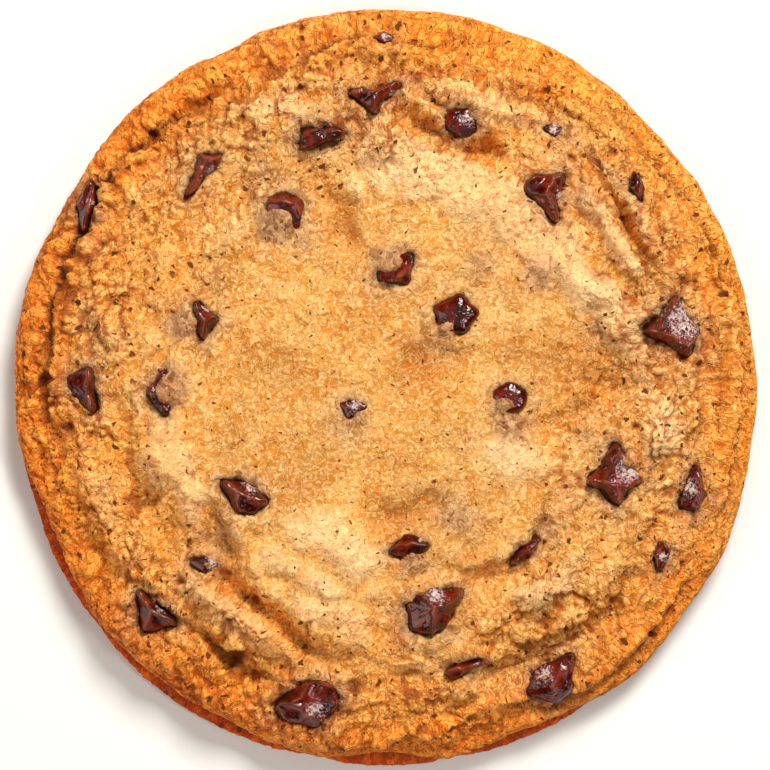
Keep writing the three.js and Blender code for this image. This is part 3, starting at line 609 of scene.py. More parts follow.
# The large forms: ripples that run round, crags, mounds, and ridges and troughs on lines that stray.
ripple_wander = 2.2 * np.sin(np.radians(3 * angle) + 1) + 1.4 * np.sin(np.radians(5 * angle) + 2)
ripple_wander = ripple_wander + 0.8 * np.sin(np.radians(8 * angle))
ripple = np.sin(2 * math.pi * along / RIPPLE_SPACING + ripple_wander) * smooth(*RIPPLE_BAND, along)
crag_rise = CRAG_RISE_MIDDLE + (CRAG_RISE_EDGE - CRAG_RISE_MIDDLE) * smooth(*CRAG_BAND, along)
crag = soft_noise(u, v, CRAG_SIZE, 0)
forms = mound_relief(x, y) + RIPPLE_RISE * ripple + crag_rise * crag
SWELL_GAIN = 1.55
TROUGH_GAIN = 1.95
OUTER_GAIN = 0.45
swell = np.zeros(x.shape)
strayed_x = x + 0.5 * wander + 0.9 * soft_noise(x, y, 4.4, 141)
strayed_y = y - 0.5 * wander + 0.9 * soft_noise(x, y, 4.4, 143)
blobby = 1 + 0.4 * soft_noise(x, y, 2.9, 147)
for rise, wide, line in SWELLS:
    distance, share_along, reach = nearest_on(line, strayed_x, strayed_y)
    fade = 0.35 + 0.65 * smooth(0, 0.3, np.minimum(share_along, 1 - share_along))
    gain = (SWELL_GAIN if rise > 0 else TROUGH_GAIN) * (1 + OUTER_GAIN * smooth(23, 30, along))
    swell = swell + gain * rise * fade * blobby * bell(distance, wide)

# Soft pillows between the folds, longer round the cookie than across it.
PILLOW_SIZE = 4.4
PILLOW_RISE = 0.8
PILLOW_RADIUS = 30
PILLOW_STRETCH = 1.6
ring_v = warped_angle * PILLOW_RADIUS / PILLOW_STRETCH
pillow = rounded_crumbs(warped_along, ring_v, PILLOW_SIZE, 151, (-0.05, 0.8), 0.65, 0.35) - 0.42
pillow_band = (0.3 * smooth(6, 12, along) + 0.7 * smooth(16, 27, along)) * (1 - 0.7 * smooth(38, 43, along))
swell = swell + PILLOW_RISE * pillow_band * pillow

# Round each chip the dough stands up as a thin lip, sinks under the chip, and creeps over one side of it.
# On one bearing the dough sits snug against the chips, and on the other side a narrow crevice stays open.
SOCKET_DEPTH = 1.5
CHIP_LIP_RISE = 0.2
SNUG_BEARING = 55
SNUG_SHIFT = 0.22


def raised(field, value, where):
    """A field with a value laid over it where that is higher."""
    return np.where(where, np.maximum(field, value), field)


socket = np.zeros(x.shape)
chip_lip = np.zeros(x.shape)
stain = np.zeros(x.shape)
smear = np.zeros(x.shape)
beside_chip = np.zeros(x.shape)
for chip in CHIPS:
    cx, cy = chip["at"]
    away_x, away_y = x - cx, y - cy
    away = np.hypot(away_x, away_y)
    near = (away < 9) & on_top
    reach = chip_reach(chip, np.degrees(np.arctan2(away_y, away_x)) % 360)
    facing = np.cos(np.arctan2(away_y, away_x) - math.radians(SNUG_BEARING))
    gap = away - reach + 0.4 * wander + SNUG_SHIFT * facing + 0.32 * rough_noise(x, y, 1.1, 131, 2)
    mean_reach = mean_corner(chip)
    sunk = -SOCKET_DEPTH * smooth(0.05, -0.65, gap)
    if chip["cover"]:
        over_x, over_y, spread, rise = chip["cover"]
        over = bell(np.hypot(away_x - over_x, away_y - over_y) + 0.35 * wander, spread)
        crept = chip["rise"] * smooth(0.3, -1.6, gap) + 0.3
        sunk = sunk + (crept - sunk) * smooth(0.38, 0.6, over)
        smear = raised(smear, smooth(0.15, 0.6, over) * smooth(2.2, 0.2, gap), near)
    socket = np.where(near & (gap < 0.9), socket + sunk, socket)
    chip_lip = raised(chip_lip, bell(gap - 0.95, 0.65), near)
    beside_chip = raised(beside_chip, bell(np.maximum(gap, 0), 1.1), near)
    uneven = smooth(-0.5, 0.5, soft_noise(x, y, 2.6, 121))
    halo = bell(np.maximum(gap + 0.8 * wander, 0), 0.8 + 0.4 * mean_reach) * (0.45 + 0.55 * uneven)
    stain = raised(stain, halo * min(1, 0.4 + 0.2 * mean_reach), near)
    smear = raised(smear, uneven * bell(np.maximum(gap, 0), 0.5), near)
for sx, sy, spread, strength in STAINS:
    spot = strength * bell(np.hypot(x - sx, y - sy) + 0.8 * wander, spread)
    stain = np.maximum(stain, spot)
    smear = np.maximum(smear, 0.7 * smooth(0.45, 0.95, spot))

# The large forms come first. The crumbs then stand out square to them, so they stay round on steep folds.
calm = 1 - smooth(0.9, 1, share)
relief = np.where(on_top, (forms + fold_relief) * (1 - 0.68 * smooth(0.93, 1, share)), 0)
relief = relief + np.where(on_top, swell * (1 - beside_chip) * calm, 0)
turn = np.where(on_side, math.pi / 2, turn)
radius = np.where(on_base, radius, radius + relief * np.sin(turn))
height = np.where(on_top, height + relief * np.cos(turn), height)
TOP_SPARE = 0.15
EASING = 0.5
eased_from = cad_box[1][2] / MM - TOP_SPARE - EASING
over_tall = np.maximum(0, height - eased_from)
height = np.where(over_tall > 0, eased_from + EASING * np.tanh(over_tall / EASING), height)
base_dents = 0.22 * np.maximum(0, rough_noise(x, y, 3.4, 91))
base_dents = base_dents + 0.12 * np.maximum(0, rough_noise(x, y, 1.2, 95))
height = np.where(on_base, base_dents * smooth(1, 0.93, share), height)
points = np.stack([radius * cos_angle, radius * sin_angle, height], axis=1)
place_vertices(dough, points)
square = np.zeros(len(points) * 3)
dough.data.vertex_normals.foreach_get("vector", square)
square = square.reshape(-1, 3)
crumbs = tear_relief + crumb_relief - pit - PINHOLE_DEPTH * pinhole * outer_band + CHIP_LIP_RISE * chip_lip

# The right of the rim baked smoother, with thin lines that run along it.
SMOOTH_RIM_BEARING = 15
RIM_LINE_SPACING = 1.6
RIM_LINE_DEPTH = 0.16
smooth_side = 0.5 + 0.5 * np.cos(np.radians(angle - SMOOTH_RIM_BEARING))
smooth_rim = smooth(0.3, 0.9, smooth_side) * smooth(35.5, 40, along)
rim_line = smooth(0.55, 1, np.sin(2 * math.pi * (along + 0.9 * wander) / RIM_LINE_SPACING)) * smooth_rim
crumbs = crumbs * (1 - 0.5 * smooth_rim) - RIM_LINE_DEPTH * rim_line
side_crumbs = (0.12 + 0.14 * smooth(1.6, 2.6, height)) * (lump - 0.6) + 0.1 * (grain - 0.6)
side_crumbs = side_crumbs + 0.06 * rough_noise(u, v, 1.1, 81)
crumbs = crumbs * (1 - 0.75 * smooth(0.9, 1, share))
crumbs = np.where(on_top, crumbs, side_crumbs * smooth(0.1, 1.2, height))
crumbs = np.where(on_base, 0, crumbs)
points = points + square * crumbs[:, None]
points[:, 2] = points[:, 2] + np.where(on_top, socket, 0)
points[:, 0] = np.clip(points[:, 0], cad_box[0][0] / MM, cad_box[1][0] / MM)
points[:, 1] = np.clip(points[:, 1], cad_box[0][1] / MM, cad_box[1][1] / MM)
points[:, 2] = np.clip(points[:, 2], 0, cad_box[1][2] / MM)
place_vertices(dough, points)

# What the colour follows: browning towards the rim and foot, cracks and hollows painted dark as shade, crumb
# tops painted cream as highlight, and stains round the chips. The lower left, the side turned from the key
# light, is painted browner and darker: partly where it toasted most, partly painted shade.
SHADED_SIDE_BEARING = 215
browning_and_shade = 0.4 * smooth(17, 38, along) + 0.6 * smooth(34.5, 42, along) + 0.2 * soft_noise(u, v, 6, 101)
browning_and_shade = browning_and_shade + 0.3 * smooth(3.0, 1.2, height) * on_side
shaded_side = 0.5 + 0.5 * np.cos(np.radians(angle - SHADED_SIDE_BEARING))
# Painted shade: the side turned from the key light is browner, and the lit side paler.
browning_and_shade = browning_and_shade + 0.32 * (shaded_side - 0.4) * smooth(20, 36, along) * on_top
scorch_and_shade = smooth(2.9, 2.2, height) * on_side * (0.4 + 0.6 * smooth(0.1, 0.7, foot_spread(angle)))
# Painted shade: the rim on the side turned from the key light is darkened further.
scorch_and_shade = scorch_and_shade + 0.45 * shaded_side * smooth(35, 44, along) * on_top
scorch_and_shade = scorch_and_shade + 0.5 * smooth(0.9, 0.2, height) * on_side + on_base * (0.35 + 0.65 * smooth(0.6, 1, share))
browning_and_shade = np.where(on_base, 0.75 + 0.25 * smooth(0.7, 1, share), browning_and_shade)
grouped = smooth(-0.5, 0.3, soft_noise(u, v, 4.1, 111))
# Painted shade: the hollows between crumbs, the broken bubbles, the lines along the rim and the hollows of
# the side are coloured a darker orange-brown.
hollow_shade = smooth(0.08, 0.3, -(crumb_relief + tear_relief)) * (0.25 + 0.75 * grouped)
hollow_shade = hollow_shade * (1 - 0.7 * smooth_rim) + 0.45 * rim_line + np.clip(pit * 1.4, 0, 1)
hollow_shade = np.where(on_top, hollow_shade, 0.9 * smooth(-0.02, 0.08, -side_crumbs) * smooth(0.1, 0.5, height))
toast = sum(rich * bell(np.hypot(x - tx, y - ty) + 0.8 * wander, wide) for tx, ty, wide, rich in TOASTED)
# Painted highlight: the tops of the crumbs are coloured cream.
peak_highlight = np.clip((crumb_relief + 0.01) / 0.14, 0, 1)
# Painted shade: a dark line along the groove round the side.
groove_line = bell(height - GROOVE_HEIGHT, 0.35) * on_side
write_fields(dough, {
    "browning_and_shade": np.clip(browning_and_shade, 0, 1),
    "crack_shade": np.clip(crack_shade + 0.8 * np.clip(pit * 1.5, 0, 1) + 0.5 * tear, 0, 1) * on_top + 0.8 * groove_line,
    "scorch_and_shade": np.clip(scorch_and_shade, 0, 1),
    "hollow_shade": np.clip(hollow_shade, 0, 1) * ~on_base,
    "peak_highlight": peak_highlight * on_top,
    # Partly dried and buttery dough, partly painted highlight and shade: ridges pale, troughs, fold valleys
    # and dents golden.
    "pale_and_lit": np.clip((swell - 0.06) / 0.7, 0, 1) * on_top,
    "buttery_and_shaded": np.clip(-swell / 0.8 + 0.6 * valley - mound_relief(x, y) / 0.6, 0, 1) * on_top,
    "toast": np.clip(toast, 0, 1) * on_top,
    "stain": np.clip(stain, 0, 1) * on_top,
    "smear": np.clip(smear, 0, 1) * on_top,
    "coarse": outer_band * on_top + on_side,
})

# The crust laid out flat, from the middle of the top over the rim to the foot, for its pattern of crumbs.
laid_out = np.stack([np.where(on_base, x, u), np.where(on_base, y, v), np.zeros(x.shape)], axis=1)
field = dough.data.attributes.new("laid_out", "FLOAT_VECTOR", "POINT")
field.data.foreach_set("vector", laid_out.astype(np.float32).ravel())

bpy.ops.object.select_all(action="DESELECT")
dough.select_set(True)
bpy.context.view_layer.objects.active = dough
bpy.ops.object.shade_smooth()


class Wiring:
    """Adds nodes to one material and joins them up."""

    def __init__(self, name):
        self.material = bpy.data.materials.new(name)
        self.material.use_nodes = True
        self.nodes = self.material.node_tree.nodes
        self.links = self.material.node_tree.links
        self.surface = self.nodes["Principled BSDF"]
        self.place = self.add("ShaderNodeTexCoord").outputs["Object"]

    def add(self, kind, inputs=None, **settings):
        node = self.nodes.new(kind)
        for name, value in settings.items():
            setattr(node, name, value)
        for name, value in (inputs or {}).items():
            self.feed(node.inputs[name], value)
        return node

    def feed(self, socket, value):
        """Links a node's output to a socket, or gives the socket a plain value."""
        if isinstance(value, bpy.types.NodeSocket):
            self.links.new(value, socket)
        else:
            socket.default_value = value

    def field(self, name):
        return self.add("ShaderNodeAttribute", attribute_name=name).outputs["Fac"]

    def maths(self, operation, a, b=0.0):
        return self.add("ShaderNodeMath", {0: a, 1: b}, operation=operation).outputs[0]

    def times(self, a, b):
        return self.maths("MULTIPLY", a, b)

    def fade(self, value, low, high, to_low=0.0, to_high=1.0):
        inputs = {"Value": value, "From Min": low, "From Max": high, "To Min": to_low, "To Max": to_high}
        return self.add("ShaderNodeMapRange", inputs, interpolation_type="SMOOTHSTEP").outputs[0]

    def noise(self, size, detail, distortion):
        inputs = {"Vector": self.place, "Scale": 1 / size, "Detail": detail, "Distortion": distortion}
        return self.add("ShaderNodeTexNoise", inputs).outputs["Fac"]

    def layer(self, name, share, under, tone, blend="MIX"):
        """Lays a tone over what is under it, as far as one of the piece's fields says."""
        return self.mix(self.times(self.field(name), share), under, tone, blend)

    def mix(self, share, a, b, blend="MIX"):
        node = self.add("ShaderNodeMix", data_type="RGBA", blend_type=blend)
        for number, value in ((0, share), (6, a), (7, b)):
            self.feed(node.inputs[number], (*value, 1) if isinstance(value, tuple) else value)
        return node.outputs[2]

    def set(self, name, value):
        self.feed(self.surface.inputs[name], value)


crust = Wiring("baked_crust")
# Browning towards the rim and foot, with painted shade on the side turned from the key light.
browned_and_shaded = crust.field("browning_and_shade")
coarse = crust.field("coarse")
spread_out = crust.add("ShaderNodeAttribute", attribute_name="laid_out").outputs["Vector"]
swirl = crust.add("ShaderNodeTexNoise", {
    "Vector": spread_out, "Scale": 1 / 1.3, "Detail": 3.0, "Roughness": 0.6}, noise_dimensions="2D")
bent = crust.add("ShaderNodeVectorMath", {0: swirl.outputs["Color"], 1: (2.0, 2.0, 0), 2: spread_out},
                 operation="MULTIPLY_ADD").outputs[0]
stirred = crust.add("ShaderNodeVectorMath", {0: swirl.outputs["Color"], 1: (1.2, 1.2, 0), 2: spread_out},
                    operation="MULTIPLY_ADD").outputs[0]
patches = crust.noise(7 * MM, 2.0, 0.4)
fine = crust.noise(0.28 * MM, 2.0, 0.5)


def flat_noise(size, detail, place):
    """Noise on the crust laid out flat."""
    inputs = {"Vector": place, "Scale": 1 / size, "Detail": detail, "Roughness": 0.6}
    return crust.add("ShaderNodeTexNoise", inputs, noise_dimensions="2D").outputs["Fac"]


def curls(size, place, reach):
    """Short curved marks, where a noise passes its middle value and another one lets them show."""
    level = crust.maths("ABSOLUTE", crust.maths("SUBTRACT", flat_noise(size, 1.0, place), 0.5))
    shown = crust.fade(flat_noise(1.4 * size, 1.0, bent), 0.51, 0.62)
    return crust.times(crust.fade(level, reach, 0.3 * reach), shown)


fleck_noise = flat_noise(0.42, 2.0, stirred)
bright_fleck = crust.fade(fleck_noise, 0.52, 0.66)
dark_curl = curls(0.9, stirred, 0.045)
bright_curl = curls(0.8, bent, 0.06)


def flat_crumbs(size):
    """Close-set flat crumbs: how far each place is from their seams, and two values for each crumb."""
    placed = {"Vector": bent, "Scale": 1 / size}
    edges = crust.add("ShaderNodeTexVoronoi", placed, voronoi_dimensions="2D", feature="DISTANCE_TO_EDGE")
    tint = crust.add("ShaderNodeTexVoronoi", placed, voronoi_dimensions="2D").outputs["Color"]
    values = crust.add("ShaderNodeSeparateColor", {"Color": tint}).outputs
    return edges.outputs["Distance"], values[0], values[1]


def dark_dots(size, reach, share):
    """Small round holes at scattered places, a share of the places left empty."""
    dots = crust.add("ShaderNodeTexVoronoi", {"Vector": stirred, "Scale": 1 / size}, voronoi_dimensions="2D")
    value = crust.add("ShaderNodeSeparateColor", {"Color": dots.outputs["Color"]}).outputs[0]
    picked = crust.maths("GREATER_THAN", value, share)
    sized = crust.maths("DIVIDE", dots.outputs["Distance"], crust.times(value, value))
    return crust.times(crust.fade(sized, reach, 0.5 * reach), picked)


seam, crumb_level, crumb_tone = flat_crumbs(1.05)
fine_seam, fine_level, fine_tone = flat_crumbs(0.5)
# Small pits, dented by the bump and painted dark as the shade in them.
speck = dark_dots(1.6, 0.14, 0.52)
hole = crust.times(dark_dots(2.2, 0.2, 0.42), crust.fade(coarse, 0.15, 0.45))

mottles = crust.noise(3.4 * MM, 2.0, 0.6)
golden = crust.mix(crust.fade(patches, 0.35, 0.65), (0.69, 0.31, 0.044), (0.62, 0.215, 0.015))
golden = crust.mix(crust.fade(mottles, 0.52, 0.64, 0, 0.7), golden, (0.78, 0.44, 0.13))
golden = crust.mix(crust.fade(mottles, 0.47, 0.34, 0, 0.75), golden, (0.55, 0.19, 0.014))
golden = crust.layer("toast", 1, golden, (0.40, 0.15, 0.016))
# Pale ridges and golden troughs: partly dried and buttery dough, partly painted highlight and painted shade.
dried_and_lit = crust.layer("pale_and_lit", 0.95, golden, (0.92, 0.61, 0.31))
pooled_and_shaded = crust.layer("buttery_and_shaded", 0.85, dried_and_lit, (0.60, 0.205, 0.010))
baked = crust.mix(browned_and_shaded, pooled_and_shaded, (0.94, 0.24, 0.010))
cream = crust.mix(browned_and_shaded, crust.mix(0.55, pooled_and_shaded, (0.90, 0.60, 0.24)), (0.97, 0.48, 0.075))
amber = crust.mix(browned_and_shaded, crust.mix(0.6, pooled_and_shaded, (0.52, 0.15, 0.008)), (0.50, 0.085, 0.003))
toned = crust.mix(crust.times(crust.fade(crumb_tone, 0.4, 1.0), 0.5), baked, cream)
dulled = crust.mix(crust.times(crust.fade(fine_tone, 0.5, 0.1), 0.4), toned, amber)
# Painted highlight: cream lines along the edges of the flat crumbs, large and fine.
rim_light = crust.times(crust.fade(seam, 0.03, 0.08), crust.fade(seam, 0.22, 0.10))
rim_light = crust.times(rim_light, crust.fade(crumb_level, 0.35, 0.7))
rimmed = crust.mix(crust.times(rim_light, 0.7), dulled, cream)
fine_rim_highlight = crust.times(crust.fade(fine_seam, 0.04, 0.12), crust.fade(fine_seam, 0.30, 0.16))
rimmed = crust.mix(crust.times(fine_rim_highlight, crust.fade(fine_level, 0.3, 0.8, 0, 0.6)), rimmed, cream)
fine_line = crust.times(crust.fade(fine_seam, 0.09, 0.01), crust.fade(fine_tone, 0.6, 0.2, 0, 0.35))
rimmed = crust.mix(fine_line, rimmed, amber)
# Painted highlight: cream on the tops of the crumbs.
lifted = crust.layer("peak_highlight", 0.6, rimmed, cream)
# Pale flecks and curls, partly pale sugar crumb and partly painted glints of light on the crumbs.
bright = crust.mix(browned_and_shaded, (0.98, 0.76, 0.36), (0.98, 0.55, 0.11))
bright_share = crust.fade(coarse, 0, 0.5, 0.42, 0.56)
bright_share = crust.times(crust.maths("MAXIMUM", bright_fleck, bright_curl), bright_share)
lifted = crust.mix(bright_share, lifted, bright)
dim_fleck = crust.fade(fleck_noise, 0.46, 0.32)
lifted = crust.mix(crust.times(dim_fleck, 0.5), lifted, amber)
curl_tone = crust.mix(browned_and_shaded, (0.36, 0.10, 0.008), (0.26, 0.04, 0.002))
lifted = crust.mix(crust.times(dark_curl, 0.5), lifted, curl_tone)
seam_line = crust.times(crust.fade(seam, 0.07, 0.01), crust.fade(crumb_tone, 0.2, 0.55))
seam_line = crust.times(seam_line, crust.fade(coarse, 0, 1, 0.15, 0.8))
seamed = crust.mix(seam_line, lifted, amber)
fleck_mean = crust.maths("ADD", crust.times(fine_level, 0.5), crust.times(fleck_noise, 0.5))
grey_tone = crust.mix(crust.fade(fleck_mean, 0.3, 0.7), (0.17, 0.062, 0.020), (0.68, 0.42, 0.23))
toasty = crust.layer("toast", 0.7, seamed, (0.74, 0.55, 0.30), "MULTIPLY")
greyed = crust.layer("stain", 0.65, toasty, grey_tone)
smear_flecks = crust.maths("ADD", crust.times(fine_tone, 0.5), crust.times(fine, 0.5))
smeared_tone = crust.mix(crust.fade(smear_flecks, 0.32, 0.66), (0.14, 0.042, 0.014), (0.50, 0.27, 0.135))
smeared = crust.layer("smear", 0.68, greyed, smeared_tone)
# Painted shade in the hollows, coloured dark orange-brown.
sunk = crust.layer("hollow_shade", 0.8, smeared, (0.36, 0.074, 0.006))
# The scorched foot and underside, and painted shade on the rim turned from the key light.
scorched_and_shaded = crust.layer("scorch_and_shade", 1, sunk, (0.90, 0.37, 0.16), "MULTIPLY")
# Painted shade: cracks, broken bubbles, tears and the side groove are coloured near black.
crack_shaded = crust.layer("crack_shade", 0.9, scorched_and_shaded, (0.15, 0.025, 0.004))
# Painted shade: the small pits are coloured dark.
dotted = crust.mix(crust.maths("MAXIMUM", speck, hole), crack_shaded, (0.15, 0.034, 0.006))
crust.set("Base Color", dotted)
crust.set("Roughness", crust.fade(crumb_level, 0.6, 0.95, 0.72, 0.45))
crust.set("Specular IOR Level", 0.16)
crust.set("Subsurface Weight", 0.1)
crust.set("Subsurface Radius", (1.0, 0.4, 0.12))
crust.set("Subsurface Scale", 0.9 * MM)
plate = crust.maths("ADD", crust.times(crust.fade(seam, 0, 0.16), 0.35),
                    crust.times(crumb_level, 0.45))
small_plate = crust.maths("ADD", crust.times(crust.fade(fine_seam, 0, 0.2), 0.1),
                          crust.times(fleck_noise, 0.9))
grain_height = crust.maths("ADD", crust.maths("ADD", plate, small_plate), crust.times(fine, 0.25))
grain_height = crust.maths("SUBTRACT", grain_height, crust.times(dark_curl, 0.5))
grain_height = crust.maths("SUBTRACT", grain_height, crust.maths("MAXIMUM", speck, hole))
crust_bump = crust.add("ShaderNodeBump", {
    "Height": grain_height, "Strength": crust.fade(coarse, 0, 1, 0.6, 1.0), "Distance": 0.22 * MM})
crust.set("Normal", crust_bump.outputs["Normal"])

dough.data.materials.clear()
dough.data.materials.append(crust.material)
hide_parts("dough")
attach(dough, "root")

# The chocolate chips: drops of dark chocolate that softened in the oven, slumped into shards and domes with
# rounded ridges, and set again with a gloss. Each one sits in its own socket of the dough.
CHIP_DEPTH_SHARE = 0.62
CHIP_DEPTH_LEAST = 1.0
CHIP_SINK_SHARE = 0.18
FINE_CHIP_REACH = 3.3
CREST_WIDTH = 0.2
ROOF_FALL = 1.1
CREST_BEAD = 0.16
LUMP_RISE = 0.06

# Crests of the chips, where the soft chocolate kept the edges of its drop: x and y from the chip's middle.
CHIP_RIDGES = [
    [[(3.8, 1.9), (2.5, 1.5), (0.3, 0.5), (-0.1, -0.2), (-0.3, -1.8)],
     [(0.3, 0.5), (-1.8, 0.5), (-3.0, 0.2)]],
    [[(-2.9, 0.1), (-0.6, 0.9), (1.4, 0.9), (2.8, 0.6)]],
    [[(3.2, 2.5), (1.7, 2.1), (0.3, 1.8), (-0.3, 0.6), (-0.8, -0.9), (-2.5, -3.2)],
     [(-0.4, 2.8), (0.3, 1.8)]],
    [[(-2.6, 0.9), (-1.6, 1.4), (-0.1, 1.5), (1.4, 0.9), (2.1, -0.4), (2.2, -1.4)]],
    [[(0.9, 2.4), (0.5, 0.9), (-0.1, -1.0), (-0.3, -2.8)], [(0.2, 3.2), (-0.4, 2.0), (-0.9, 0.7)]],
    [[(0.7, 3.1), (0.7, 1.8), (0.1, 0.3), (0.9, -1.3), (1.3, -3.1)], [(0.7, 1.8), (2.0, 2.7), (2.8, 2.8)],
     [(0.7, 3.1), (-1.1, 2.5), (-2.4, 1.8)]],
    [],
    [[(-0.2, 1.9), (0.25, 0.7), (0.1, -1.2)]],
    [],
    [[(1.6, 1.9), (1.7, 0.7), (0.9, -0.35), (-0.4, -1.2), (-1.8, -1.5)]],
    [],
    [[(0.9, 4.1), (0.0, 2.4), (-1.0, 0.3), (-1.8, -0.4)],
     [(-3.3, -0.4), (-1.8, -0.4), (-0.4, -0.9), (0.75, -1.8), (2.2, -2.3), (3.0, -1.6)]],
    [[(-0.6, 2.6), (-0.4, 0.8), (0.3, -0.1), (1.5, 0.2), (2.0, 0.2)], [(0.3, -0.1), (0, -1.6), (0.2, -2.5)]],
    [[(0.6, 3.1), (0.4, 1.3), (0.6, -0.7), (1.3, -3.2)]],
    [[(0.7, 3.0), (-0.45, 1.7), (-1.3, 0), (-1.2, -1.5), (-0.1, -3.0)]],
    [],
    [],
    [[(0.6, 3.8), (0.25, 2.4), (-0.2, 1.3), (-0.6, 0.3), (-1.6, -0.8), (-3.5, -1.0)],
     [(-1.2, -1.0), (0, -1.5), (0.4, -2.6), (0.6, -4.0)], [(0.4, -1.4), (2.0, -1.3), (3.4, -0.7)]],
    [[(0.45, 3.4), (0.7, 1.7), (0.9, 0.2), (0.7, -1.4), (0.5, -2.8)]],
    [],
    [[(-0.8, 0.4), (0.5, -0.3), (2.7, -0.8)], [(-2.2, 1.6), (-0.8, 0.4), (-0.5, -1.2)]],
    [],
    [[(-2.0, 2.5), (-0.7, 0.5), (-0.3, -0.2), (1.2, -0.9), (2.9, -1.7)], [(-0.3, -0.2), (-1.4, -2.5)]],
    [[(-2.6, -0.4), (-1.2, 0.35), (0.5, 0.5), (2.4, 0.2)]],
    [[(1.9, 1.6), (-0.7, -0.5), (-2.0, -1.5)]],
    [[(-1.4, 1.7), (0.1, 0.2), (1.7, 0.7), (3.7, 2.4)], [(0.1, 0.2), (0, -2.0), (-0.2, -3.0)]],
    [[(-3.8, 0), (-2.0, 0.3), (-1.0, 0.9), (-0.4, 2.3)],
     [(-2.0, 0.3), (-0.6, -0.8), (1.4, -1.7), (2.7, -1.1), (3.3, 0.5)], [(1.5, 2.6), (2.8, 2.1), (3.4, 1.2)]],
    [[(-2.2, -0.1), (-0.3, 0), (1.1, 0.5), (2.7, 1.0)]],
    [[(2.4, 3.6), (2.3, 2.0), (0.9, 1.0), (0, -0.6)], [(2.3, 2.0), (2.4, 0.5), (2.1, -0.5)]],
    [],
]

# Pale film on the chips, where cocoa butter and dough dried on them: x, y and spread, none where it is 0.
CHIP_FILMS = [
    (2.3, 0.1, 0.9), (2.0, -0.2, 0.5), (1.2, 0.5, 0.8), (0, 0, 0), (0.4, 1.0, 0.6), (1.7, 0.2, 0.8),
    (0.6, 0, 1.0), (0, 0, 0), (0.2, 0, 1.0), (-0.4, 0.5, 0.8), (0, 0, 0), (1.7, 1.0, 3.3), (0.6, 1.5, 0.9),
    (-1.8, -0.3, 0.6), (0.5, 1.8, 0.5), (0.2, 0.4, 1.0), (0, 0, 0), (1.8, 0.5, 2.8), (-0.4, 0.1, 1.4),
    (0.2, 0, 0.8), (0.8, 1.2, 1.1), (1.2, 0.1, 1.0), (0.9, 0.3, 0.9), (1.4, 0.9, 0.5), (1.2, 0.5, 0.9),
    (0.1, 1.7, 1.5), (0.8, -0.5, 1.3), (2.2, 0.5, 0.7), (-1.0, 0.9, 1.2), (0, 0, 0.7),
]

chocolate = Wiring("set_chocolate")
smears = chocolate.noise(1.6 * MM, 2.0, 0.6)
dust = chocolate.noise(0.38 * MM, 3.0, 0.8)
filmed = chocolate.field("film")
film = chocolate.fade(chocolate.maths("ADD", filmed, chocolate.times(dust, 2.6)), 1.82, 2.4)
melted = chocolate.mix(chocolate.fade(smears, 0.35, 0.7), (0.028, 0.0010, 0.0002), (0.155, 0.0075, 0.0007))
# Painted highlight along the crests of the chips.
melted = chocolate.layer("edge", 1, melted, (0.30, 0.055, 0.022))
# Painted shade: the low edges and underside of each chip are coloured near black.
melted = chocolate.layer("under", 1, melted, (0.010, 0.001, 0.0005))
chocolate.set("Base Color", chocolate.mix(film, melted, (0.56, 0.40, 0.37)))
chocolate.set("Roughness", chocolate.fade(film, 0, 1, 0.13, 0.36))
chocolate.set("Specular IOR Level", 0.5)
wrinkles = chocolate.noise(0.6 * MM, 2.5, 0.3)
chip_height = chocolate.maths("ADD", wrinkles, chocolate.times(film, dust))
chip_bump = chocolate.add("ShaderNodeBump", {"Height": chip_height, "Strength": 0.8, "Distance": 0.16 * MM})
chocolate.set("Normal", chip_bump.outputs["Normal"])

